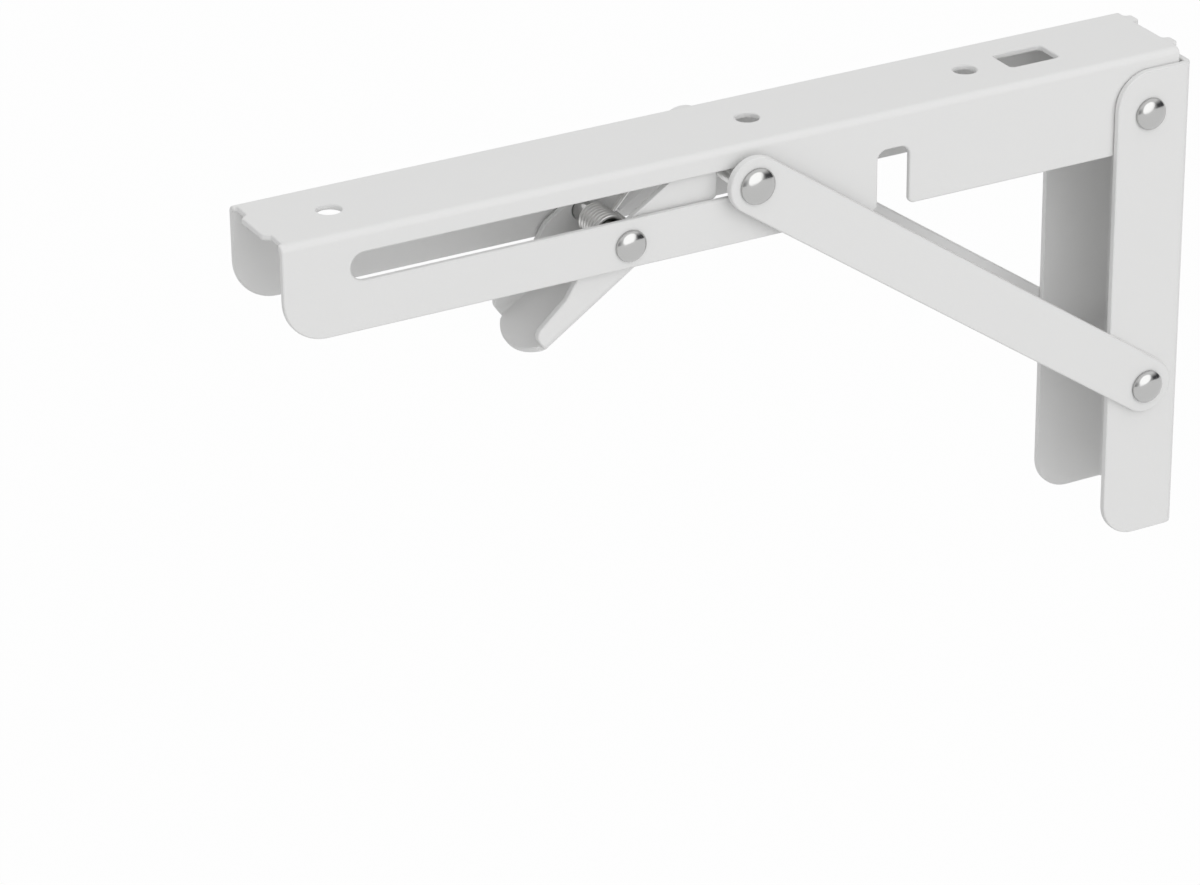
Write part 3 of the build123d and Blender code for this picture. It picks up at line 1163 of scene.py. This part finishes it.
@dataclass(frozen=True)
class CoilSpring:
    """Torsion spring with a close coil and two straight legs, in metres.

    The coil and the arm's leg ride on the arm. The handle's leg swings with the
    lever: a slimmer tail of it lies inside the coil's first turn and slides out
    as the lever is pressed, so the wire stays whole.

    Attributes:
        pivot: Centre of the coil.
        handle_leg: Length of the leg on the handle.
        arm_leg: Length of the leg under the arm's web.
        node: Solid that it stands for.
        wire: Radius of the wire.
        coil: Radius of the wire's middle line.
        pitch: Rise of one turn.
        whole_turns: Number of whole turns.
        leg_angle: Angle beyond them to where the arm's leg leaves, in radians.
        start: Angle of the coil's first point below the arm's line, in radians.
        tail: Angle that the handle leg's tail takes up in the coil.
        tail_share: Thickness of the tail as a share of the wire.
        steps_per_turn: Steps round one turn.
        wire_sides: Sides of the wire.
    """

    pivot: Vector
    handle_leg: float
    arm_leg: float
    node: str = "lever_spring"
    wire: float = 0.6 * MM
    coil: float = 3.6 * MM
    pitch: float = 1.3 * MM
    whole_turns: int = 7
    leg_angle: float = math.radians(1.3)
    start: float = math.radians(43.7)
    tail: float = math.radians(40)
    tail_share: float = 0.96
    steps_per_turn: int = 40
    wire_sides: int = 16

    def wound(self) -> float:
        """Angle that the whole coil winds through, in radians."""
        return self.whole_turns * math.tau + self.leg_angle

    def along(self) -> Vector:
        """Direction of the wire at the coil's first point."""
        rise = self.pitch / (math.tau * self.coil)
        return Vector((math.cos(self.start), rise, math.sin(self.start))).normalized()

    def first_ring(self, mesh: bmesh.types.BMesh) -> Geometry:
        """Draws a ring of wire at the coil's first point.

        Args:
            mesh: The empty mesh that it starts.

        Returns:
            Its vertices and edges.
        """
        outward = Vector((math.sin(self.start), 0, -math.cos(self.start)))
        half_length = self.pitch * self.wound() / math.tau / 2
        origin = self.pivot + outward * self.coil - ACROSS * half_length
        facing = Vector((0, 0, 1)).rotation_difference(self.along()).to_matrix().to_4x4()
        place = Matrix.Translation(origin) @ facing
        bmesh.ops.create_circle(mesh, segments=self.wire_sides, radius=self.wire, matrix=place)
        return [*mesh.verts, *mesh.edges]

    def wind(self, mesh: bmesh.types.BMesh, ring: Geometry, turn: float) -> Geometry:
        """Winds a ring of wire on along the coil.

        Args:
            mesh: The mesh to work on.
            ring: Vertices and edges of the ring.
            turn: Angle to wind through, in radians.

        Returns:
            Vertices and edges of the last ring.
        """
        steps = round(turn / math.tau * self.steps_per_turn)
        made = bmesh.ops.spin(
            mesh,
            geom=ring,
            cent=self.pivot,
            axis=-ACROSS,
            dvec=ACROSS * self.pitch * turn / math.tau / steps,
            angle=turn,
            steps=steps,
        )
        return made["geom_last"]

    def build_coil(self, finish: Finish) -> bpy.types.Object:
        """Winds the coil and draws its last end out into the arm's leg.

        Args:
            finish: Material of the piece.

        Returns:
            The piece.
        """
        mesh = bmesh.new()
        first = self.first_ring(mesh)
        last = self.wind(mesh, first, self.wound())
        way = Matrix.Rotation(self.wound(), 3, -ACROSS) @ self.along()
        tip = lengthen(mesh, last, way * self.arm_leg)
        close_wire(mesh, first, tip)
        return finish_piece(mesh, "lever_spring_wire", finish, Body.ARM, (self.node,))

    def build_handle_leg(self, finish: Finish) -> bpy.types.Object:
        """Draws the handle's leg and winds its tail into the coil.

        Args:
            finish: Material of the piece.

        Returns:
            The piece.
        """
        mesh = bmesh.new()
        first = self.first_ring(mesh)
        tip = lengthen(mesh, first, -self.along() * self.handle_leg)
        slim = lengthen(mesh, first, Vector())
        points = only(bmesh.types.BMVert, slim)
        middle = sum((vert.co for vert in points), Vector()) / len(points)
        shrink = (self.tail_share,) * 3
        bmesh.ops.scale(mesh, verts=points, vec=shrink, space=Matrix.Translation(-middle))
        last = self.wind(mesh, slim, self.tail)
        close_wire(mesh, tip, last)
        return finish_piece(mesh, "lever_spring_leg", finish, Body.LEVER, ())

    def build(self, finish: Finish) -> None:
        """Builds the coil with the arm's leg, and the handle's leg.

        Args:
            finish: Material of both pieces.
        """
        self.build_coil(finish)
        self.build_handle_leg(finish)


# Sub-assemblies


@dataclass
class WallBracket:
    """Wall channel with the rivets of the arm's and the links' pivots, in millimetres.

    Attributes:
        coat: Finish of the channel.
        plate: Finish of the rivets.
        height: Height of the channel.
        depth: How far its flanges stand out from the wall.
        half_width: Half of its width outside.
        thickness: Thickness of its sheet.
        bend: Outer radius of its folds.
        corner: Radius of its flanges' corners.
        edge: Round of its cut edges.
        screw_hole: Radius of its screw holes.
        screw_pitch: Distance between two screw holes.
        screw_middle: Height of the middle screw hole.
        arm_shank: Radius of the rivet at the arm's pivot.
        link_shank: Radius of the rivet at the links' pivot.
    """

    coat: Finish
    plate: Finish
    height: float = 129.0
    depth: float = 22.0
    half_width: float = 16.6
    thickness: float = 1.8
    bend: float = 2.5
    corner: float = 9.5
    edge: float = 0.38
    screw_hole: float = 3.0
    screw_pitch: float = 40.0
    screw_middle: float = -8.0
    arm_shank: float = 2.75
    link_shank: float = 3.2

    def pivots(self) -> tuple[tuple[str, float], ...]:
        """Names of what turns on the channel, with the radius of each rivet."""
        return ("arm", self.arm_shank), ("link", self.link_shank)

    def build_channel(self) -> None:
        """Punches and folds the wall channel."""
        sheet = Sheet(self.thickness, self.half_width, self.bend, self.edge)
        rim = sheet.flange(self.depth)
        half = self.height / 2
        sheet.outline(rectangle(-half, half, -rim, rim, self.corner))
        for step in (-1, 0, 1):
            sheet.hole(self.screw_middle + step * self.screw_pitch, 0, self.screw_hole)
        for name, radius in self.pivots():
            pivot = centre_of(f"rivet_{name}_pivot") / MM
            sheet.flange_holes(pivot.z, -pivot.x, radius)
        place = basis(Vector((0, 0, 1)), Vector((-1, 0, 0)), Vector())
        sheet.build(place, "wall_channel_sheet", self.coat, Body.WALL, "wall_channel")

    def build(self) -> None:
        """Builds the channel and its two rivets."""
        self.build_channel()
        for name, radius in self.pivots():
            nodes = (f"rivet_{name}_pivot",)
            Rivet(f"{name}_pivot_rivet", nodes, Body.WALL, radius * MM).build(self.plate)


@dataclass
class ShelfArm:
    """Arm channel, open below, with the lever's rivet, in millimetres.

    Attributes:
        coat: Finish of the channel.
        plate: Finish of the rivet.
        reach: Distance of the free end from the wall.
        end_gap: Distance of the wall end from the wall.
        half_width: Half of its width outside.
        depth: Height of the whole channel.
        thickness: Thickness of its sheet.
        bend: Outer radius of its folds.
        edge: Round of its cut edges.
        end_corner: Radius of the free end's lower corners.
        heel: Radius of the heel, which is the lower corner at the wall end.
        nose_out: How far the web's nose stands out at the free end.
        nose_half: Half of its width.
        nose_round: Radius of its corners.
        relief_depth: Depth of the reliefs beside the nose.
        relief_inner: Distance of a relief's inner corner from the middle.
        relief_outer: Distance of its outer corner.
        relief_run: How far its outer side slants out.
        relief_round: Radius of its corners.
        ear_out: How far the two ears stand out at the wall end.
        ear_inner: Distance of an ear's inner side from the middle.
        ear_outer: Distance of its outer side.
        ear_round: Radius of its corners.
        notch_offset: How far the notches' middle lies towards the wall from
            where the links' rivet comes when the arm is folded.
        notch_half: Half of a notch's width.
        notch_top: Distance of its top from the web's outer face.
        notch_round: Radius of its top corners.
        mouth_round: Radius of the corners at its mouth.
        slot_half: Half of a slot's width.
        slot_end: Middle of its round at the free end.
        shelf_hole: Radius of the holes for the shelf's screws.
        shelf_holes: Their distances from the wall.
        window_from_wall: Distance of the window's middle from the wall.
        window_half_length: Half of its length.
        window_half_width: Half of its width.
        window_round: Radius of its corners.
        pivot_hole: Radius of the hole for the arm's pivot.
        lever_shank: Radius of the lever's rivet and of its hole.
        lever_head_height: Height of that rivet's domed head.
        lever_peen_height: Height of its peened end.
    """

    coat: Finish
    plate: Finish
    reach: float = 250.0
    end_gap: float = 2.7
    half_width: float = 14.5
    depth: float = 25.4
    thickness: float = 1.5
    bend: float = 1.8
    edge: float = 0.42
    end_corner: float = 11.0
    heel: float = 10.45
    nose_out: float = 0.8
    nose_half: float = 5.6
    nose_round: float = 1.1
    relief_depth: float = 1.0
    relief_inner: float = 7.0
    relief_outer: float = 12.2
    relief_run: float = 0.3
    relief_round: float = 0.7
    ear_out: float = 1.9
    ear_inner: float = 6.6
    ear_outer: float = 10.6
    ear_round: float = 0.9
    notch_offset: float = 1.0
    notch_half: float = 4.5
    notch_top: float = 9.75
    notch_round: float = 2.6
    mouth_round: float = 1.5
    slot_half: float = 3.6
    slot_end: float = -229.0
    shelf_hole: float = 3.0
    shelf_holes: tuple[float, ...] = (57.0, 119.0, 231.0)
    window_from_wall: float = 39.2
    window_half_length: float = 7.1
    window_half_width: float = 4.6
    window_round: float = 1.2
    pivot_hole: float = 2.8
    lever_shank: float = 2.5
    lever_head_height: float = 2.0
    lever_peen_height: float = 1.4

    def half_outline(self, sheet: Sheet) -> list[Corner]:
        """Half outline of the flat arm, from the free end's nose round to the wall end.

        Args:
            sheet: The sheet that it is drawn on.

        Returns:
            Its corners in order.
        """
        pivot = centre_of("rivet_arm_pivot") / MM
        link_pivot = centre_of("rivet_link_pivot") / MM
        rim = sheet.flange(self.depth)
        notch_top = sheet.flange(self.notch_top)
        notch_x = pivot.x - (pivot.z - link_pivot.z) + self.notch_offset
        heel_turn = math.asin((-self.end_gap - pivot.x) / self.heel)
        heel_corner = pivot.x + self.heel * math.tan(heel_turn / 2)
        heel_end = self.heel * (1 - math.cos(heel_turn))
        low_notch, high_notch = notch_x - self.notch_half, notch_x + self.notch_half
        return [
            Corner(-self.reach - self.nose_out, self.nose_half, self.nose_round),
            Corner(-self.reach + self.relief_depth, self.relief_inner, self.relief_round),
            Corner(-self.reach + self.relief_depth, self.relief_outer, self.relief_round),
            Corner(-self.reach, self.relief_outer + self.relief_run),
            Corner(-self.reach, rim, self.end_corner),
            Corner(low_notch, rim, self.mouth_round),
            Corner(low_notch, notch_top, self.notch_round),
            Corner(high_notch, notch_top, self.notch_round),
            Corner(high_notch, rim, self.mouth_round),
            Corner(heel_corner, rim, self.heel),
            Corner(-self.end_gap, rim - heel_end),
            Corner(-self.end_gap, self.ear_outer, self.ear_round),
            Corner(self.ear_out - self.end_gap, self.ear_outer, self.ear_round),
            Corner(self.ear_out - self.end_gap, self.ear_inner, self.ear_round),
            Corner(-self.end_gap, self.ear_inner, self.ear_round),
        ]

    def build_channel(self) -> None:
        """Punches and folds the arm."""
        sheet = Sheet(self.thickness, self.half_width, self.bend, self.edge)
        sheet.outline(with_mirror(self.half_outline(sheet)))
        for distance in self.shelf_holes:
            sheet.hole(-distance, 0, self.shelf_hole)
        half_length, half_width = self.window_half_length, self.window_half_width
        ends = (-self.window_from_wall - half_length, -self.window_from_wall + half_length)
        sheet.outline(rectangle(*ends, -half_width, half_width, self.window_round))
        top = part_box("shelf_arm")[1].z / MM
        slide = centre_of("slide_pin_near") / MM
        pivot = centre_of("rivet_arm_pivot") / MM
        lever = centre_of("rivet_lever_pivot") / MM
        for side in Side:
            middle = side.value * sheet.flange(top - slide.z)
            slot = (middle - self.slot_half, middle + self.slot_half)
            slot_ends = (self.slot_end - self.slot_half, slide.x + self.slot_half)
            sheet.outline(rectangle(*slot_ends, *slot, self.slot_half))
        sheet.flange_holes(pivot.x, top - pivot.z, self.pivot_hole)
        sheet.flange_holes(lever.x, top - lever.z, self.lever_shank)
        place = basis(Vector((1, 0, 0)), Vector((0, 0, -1)), Vector((0, 0, top)))
        sheet.build(place, "shelf_arm_sheet", self.coat, Body.ARM, "shelf_arm")

    def build(self) -> None:
        """Builds the arm and the rivet that the lever turns on."""
        self.build_channel()
        Rivet(
            "lever_pivot_rivet",
            ("rivet_lever_pivot",),
            Body.ARM,
            self.lever_shank * MM,
            head_height=self.lever_head_height * MM,
            peen_height=self.lever_peen_height * MM,
        ).build(self.plate)


@dataclass
class SlidingLinks:
    """Two flat links with the slide rivet that joins them to the arm, in millimetres.

    Attributes:
        coat: Finish of the links.
        plate: Finish of the slide rivet's head and peened end.
        steel: Finish of its middle and of the washers.
        half_width: Half of a link's width, and the radius of its ends.
        thickness: Thickness of a link.
        edge: Round of its cut edges.
        pivot_hole: Radius of the hole for the links' pivot.
        rivet_shank: Radius of the slide rivet in the links, and of its holes.
        pin_shank: Radius of its middle, which runs in the arm's slots.
    """

    coat: Finish
    plate: Finish
    steel: Finish
    half_width: float = 7.3
    thickness: float = 2.2
    edge: float = 0.42
    pivot_hole: float = 3.25
    rivet_shank: float = 2.75
    pin_shank: float = 3.5

    def build_link(self, side: Side) -> None:
        """Punches one link.

        Args:
            side: Side of the bracket that it is on.
        """
        node = f"link_{side.name.lower()}"
        pivot = centre_of("rivet_link_pivot") / MM
        slide = centre_of("slide_pin_near") / MM
        along = Vector((slide.x - pivot.x, 0, slide.z - pivot.z))
        sheet = Sheet(self.thickness, self.half_width, edge=self.edge)
        ends = (-self.half_width, along.length + self.half_width)
        sheet.outline(rectangle(*ends, -self.half_width, self.half_width, self.half_width))
        sheet.hole(0, 0, self.pivot_hole)
        sheet.hole(along.length, 0, self.rivet_shank)
        low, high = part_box(node)
        inner = (high.y if side is Side.NEAR else low.y) / MM
        outward = Vector((0, side.value, 0))
        place = basis(along.normalized(), outward, Vector((pivot.x, inner, pivot.z)))
        sheet.build(place, f"{node}_sheet", self.coat, Body.LINKS, node)

    def build(self) -> None:
        """Builds the links, the rivet's ends, its middle and the washers."""
        for side in Side:
            self.build_link(side)
            Washer(f"slide_washer_{side.name.lower()}", Body.SLIDER).build(self.steel)
        plain = RivetEnd.PLAIN
        ends = (
            ("slide_rivet_head", "slide_rivet_near", (RivetEnd.DOMED, plain)),
            ("slide_rivet_peen", "slide_rivet_far", (plain, RivetEnd.PEENED)),
        )
        for name, node, forms in ends:
            shank = self.rivet_shank * MM
            Rivet(name, (node,), Body.LINKS, shank, ends=forms).build(self.plate)
        pins = ("slide_pin_near", "slide_pin_far")
        shank = self.pin_shank * MM
        middle = Rivet("slide_rivet_middle", pins, Body.SLIDER, shank, ends=(plain, plain))
        middle.build(self.steel)


@dataclass
class ReleaseLever:
    """Sprung lever that locks the slide rivet, in millimetres.

    Its outline is drawn along its lower edge: s runs from handle to hook, with
    its zero at the pivot, and h is the height above that edge.

    Attributes:
        coat: Finish of the lever.
        wire: Finish of its spring.
        slope: Angle of its lower edge to the arm, in radians.
        half_width: Half of its width outside.
        thickness: Thickness of its sheet.
        bend: Outer radius of its folds.
        edge: Round of its cut edges.
        pivot_h: Height of the pivot along h.
        pivot_hole: Radius of the pivot's hole.
        bar_width: Height of the flanges at the pivot.
        handle_end: End of the handle along s, where its tongue begins.
        handle_end_width: Height of the flanges there.
        neck: Place along s where the flanges begin to rise to the shoulder.
        neck_width: Height of the flanges there.
        shoulder: Place along s where they reach the height at the pivot.
        handle_round: Radius of their corners at the handle's end.
        shoulder_round: Radius of the bends at the neck and the shoulder.
        tongue_out: How far the tongue stands out.
        tongue_half: Half of its width.
        web_end: End of the web along s.
        relief: Width of the slits that part the hooks from the web.
        relief_round: Radius of a slit's corners, just under half of its width.
        hook_out: Level distance of a hook's face from the pivot.
        hook_top: Upright height of its top over the pivot.
        hook_round: Radius of its corners.
        handle_leg: Length of the spring's leg on the handle.
        arm_leg: Length of its leg under the arm's web.
    """

    coat: Finish
    wire: Finish
    slope: float = math.radians(33.7)
    half_width: float = 12.1
    thickness: float = 1.8
    bend: float = 2.6
    edge: float = 0.36
    pivot_h: float = 8.4
    pivot_hole: float = 2.55
    bar_width: float = 12.4
    handle_end: float = -31.3
    handle_end_width: float = 6.0
    neck: float = -20.0
    neck_width: float = 7.6
    shoulder: float = -9.0
    handle_round: float = 2.4
    shoulder_round: float = 3.0
    tongue_out: float = 4.4
    tongue_half: float = 10.6
    web_end: float = 6.5
    relief: float = 0.7
    relief_round: float = 0.343
    hook_out: float = 25.0
    hook_top: float = 13.5
    hook_round: float = 1.2
    handle_leg: float = 13.8
    arm_leg: float = 28.1

    def hook_corner(self, x: float, z: float, sheet: Sheet) -> Corner:
        """Corner of the hook from its place beside the pivot, level and upright.

        Args:
            x: Distance from the pivot along the bracket.
            z: Height above the pivot.
            sheet: The sheet that it is drawn on.

        Returns:
            The corner on the flat sheet.
        """
        s = x * math.cos(self.slope) + z * math.sin(self.slope)
        h = z * math.cos(self.slope) - x * math.sin(self.slope) + self.pivot_h
        return Corner(s, sheet.flange(h), self.hook_round)

    def half_outline(self, sheet: Sheet) -> list[Corner]:
        """Half outline of the flat lever, from the handle's tongue round to the web's end.

        Args:
            sheet: The sheet that it is drawn on.

        Returns:
            Its corners in order.
        """
        tongue_round = (self.tongue_half**2 + self.tongue_out**2) / (2 * self.tongue_out)
        tongue_turn = math.asin(self.tongue_half / tongue_round)
        tongue_tip = self.handle_end - self.tongue_half * math.tan(tongue_turn)
        low_z = (self.hook_out * math.sin(self.slope) - self.pivot_h) / math.cos(self.slope)
        back_h = self.bar_width - self.pivot_h
        back_x = (self.hook_top * math.cos(self.slope) - back_h) / math.sin(self.slope)
        slit_top = sheet.fold_line(sheet.bend_steps) + self.relief / 2
        slit_far = self.web_end + self.relief
        return [
            Corner(tongue_tip, 0, tongue_round),
            Corner(self.handle_end, self.tongue_half),
            Corner(self.handle_end, sheet.flange(self.handle_end_width), self.handle_round),
            Corner(self.neck, sheet.flange(self.neck_width), self.shoulder_round),
            Corner(self.shoulder, sheet.flange(self.bar_width), self.shoulder_round),
            self.hook_corner(back_x, self.hook_top, sheet),
            self.hook_corner(self.hook_out, self.hook_top, sheet),
            self.hook_corner(self.hook_out, low_z, sheet),
            Corner(slit_far, sheet.flange(0)),
            Corner(slit_far, slit_top, self.relief_round),
            Corner(self.web_end, slit_top, self.relief_round),
        ]

    def build(self) -> None:
        """Builds the lever and its spring."""
        loose_from = self.web_end + self.relief / 2
        sheet = Sheet(self.thickness, self.half_width, self.bend, self.edge, loose_from=loose_from)
        sheet.outline(with_mirror(self.half_outline(sheet)))
        sheet.flange_holes(0, self.pivot_h, self.pivot_hole)
        pivot = centre_of("rivet_lever_pivot")
        pivot.y = 0
        along = Vector((math.cos(self.slope), 0, math.sin(self.slope)))
        rise = Vector((-math.sin(self.slope), 0, math.cos(self.slope)))
        place = basis(along, rise, pivot / MM - rise * self.pivot_h)
        sheet.build(place, "release_lever_sheet", self.coat, Body.LEVER, "release_lever")
        CoilSpring(pivot, self.handle_leg * MM, self.arm_leg * MM).build(self.wire)


# Studio


@dataclass
class Studio:
    """Camera, floor, world and lamp of a plain product photograph, in metres.

    Attributes:
        azimuth: Side that the camera looks from.
        elevation: Height angle that it looks down from.
        roll: Its turn about its own line of sight.
        camera_place: Where it stands.
        lens: Its focal length, in millimetres.
        clip: Nearest and farthest distance that it sees.
        floor_height: Height of the floor.
        floor_size: Length of the floor's sides.
        floor_colour: Colour that the floor gives back to the bracket.
        glow_share: Share of plain white in the floor as it is seen; the rest
            shows the bracket's shadow.
        world_strength: Strength of the world's light.
        screen_colour: Colour of the dark screens at the bracket's two ends.
        screen_height: Height in a direction over which the screens fade out.
        wall_screen: Directions along X over which the wall's screen fades in.
        free_screen: Directions along X over which the free end's screen fades out.
        free_share: Strength of the free end's screen.
        lamp_place: Where the lamp hangs.
        lamp_aim: Point that it faces.
        lamp_size: Width of its disc.
        lamp_power: Its power, in watts.
    """

    azimuth: float = math.radians(-28.01)
    elevation: float = math.radians(26.293)
    roll: float = math.radians(-0.69)
    camera_place: Vector = field(default_factory=lambda: Vector((-0.67114, -0.96017, 0.52761)))
    lens: float = 148.32
    clip: tuple[float, float] = (0.05, 30.0)
    floor_height: float = -0.235
    floor_size: float = 8.0
    floor_colour: Colour = (0.72, 0.72, 0.72, 1.0)
    glow_share: float = 0.97
    world_strength: float = 0.87
    screen_colour: Colour = (0.08, 0.08, 0.085, 1.0)
    screen_height: tuple[float, float] = (0.2, 0.6)
    wall_screen: tuple[float, float] = (0.42, 0.68)
    free_screen: tuple[float, float] = (-0.8, -0.35)
    free_share: float = 0.6
    lamp_place: Vector = field(default_factory=lambda: Vector((0.06, -1.68, 0.68)))
    lamp_aim: Vector = field(default_factory=lambda: Vector((-0.12, 0, 0.02)))
    lamp_size: float = 2.1
    lamp_power: float = 9.8

    def set_camera(self) -> None:
        """Places the camera at the photograph's angle and distance."""
        data = bpy.data.cameras.new("product_camera")
        data.lens = self.lens
        data.clip_start, data.clip_end = self.clip
        camera = bpy.data.objects.new("product_camera", data)
        bpy.context.scene.collection.objects.link(camera)
        level = math.cos(self.elevation)
        back = Vector(
            (
                math.sin(self.azimuth) * level,
                -math.cos(self.azimuth) * level,
                math.sin(self.elevation),
            )
        )
        roll = Quaternion((0, 0, 1), self.roll)
        camera.location = self.camera_place
        camera.rotation_mode = "QUATERNION"
        camera.rotation_quaternion = (-back).to_track_quat("-Z", "Y") @ roll
        bpy.context.scene.camera = camera

    def lay_floor(self) -> None:
        """Lays a white floor that keeps a soft shadow and is clear from below."""
        mesh = bmesh.new()
        bmesh.ops.create_grid(mesh, x_segments=1, y_segments=1, size=self.floor_size / 2)
        bmesh.ops.translate(mesh, verts=mesh.verts, vec=(0, 0, self.floor_height))
        data = bpy.data.meshes.new("studio_floor")
        mesh.to_mesh(data)
        mesh.free()
        floor = bpy.data.objects.new("studio_floor", data)
        bpy.context.scene.collection.objects.link(floor)
        material = bpy.data.materials.new("studio_floor")
        material.use_nodes = True
        material.node_tree.nodes.clear()
        board = Board(material.node_tree)
        matte = board.feed(board.place("ShaderNodeBsdfDiffuse"), color=self.floor_colour)
        glow = board.feed(board.place("ShaderNodeEmission"), color=WHITE, strength=1.0)
        clear = board.place("ShaderNodeBsdfTransparent")
        seen, _ = board.background_rays()
        shown = board.maths("MULTIPLY", seen, self.glow_share)
        lit = board.mixed(shown, matte.outputs[0], glow.outputs[0])
        below = board.place("ShaderNodeNewGeometry").outputs["Backfacing"]
        surface = board.mixed(below, lit, clear.outputs[0])
        board.feed(board.place("ShaderNodeOutputMaterial"), surface=surface)
        data.materials.append(material)

    def light_world(self) -> None:
        """Lights the scene from a white world with a dark screen at each end of the bracket."""
        world = bpy.data.worlds.new("studio_world")
        bpy.context.scene.world = world
        world.use_nodes = True
        world.node_tree.nodes.clear()
        board = Board(world.node_tree)
        direction = board.place("ShaderNodeTexCoord").outputs["Generated"]
        way = board.feed(board.place("ShaderNodeSeparateXYZ"), vector=direction).outputs
        low = board.spread(board.maths("ABSOLUTE", way["Z"]), self.screen_height, (1.0, 0.0))
        wall_end = board.spread(way["X"], self.wall_screen)
        free_end = board.spread(way["X"], self.free_screen, (self.free_share, 0.0))
        screen = board.maths("MULTIPLY", low, board.maths("ADD", wall_end, free_end))
        seen, mirrored = board.background_rays()
        room = board.blend(screen, WHITE, self.screen_colour)
        shown = board.maths("MULTIPLY", screen, mirrored)
        background = board.blend(shown, WHITE, self.screen_colour)
        light = board.light(room, self.world_strength)
        surface = board.mixed(seen, light, board.light(background, 1.0))
        board.feed(board.place("ShaderNodeOutputWorld"), surface=surface)

    def hang_lamp(self) -> None:
        """Hangs a round soft lamp over the near side."""
        data = bpy.data.lights.new("key_lamp", "AREA")
        data.shape = "DISK"
        data.size = self.lamp_size
        data.energy = self.lamp_power
        lamp = bpy.data.objects.new("key_lamp", data)
        bpy.context.scene.collection.objects.link(lamp)
        lamp.location = self.lamp_place
        lamp.rotation_mode = "QUATERNION"
        lamp.rotation_quaternion = (self.lamp_aim - self.lamp_place).to_track_quat("-Z", "Y")

    def build(self) -> None:
        """Sets up the whole studio and the plain view."""
        self.set_camera()
        self.lay_floor()
        self.light_world()
        self.hang_lamp()
        bpy.context.scene.view_settings.view_transform = "Standard"


def main() -> None:
    """Builds the studio and every sub-assembly."""
    logging.basicConfig(level=logging.INFO, format="%(name)s: %(message)s")
    coat = PowderCoat()
    plate = BrightPlate()
    steel = TurnedSteel()
    wire = SpringWire()
    Studio().build()
    WallBracket(coat, plate).build()
    ShelfArm(coat, plate).build()
    SlidingLinks(coat, plate, steel).build()
    ReleaseLever(coat, wire).build()


if __name__ == "__main__":
    main()
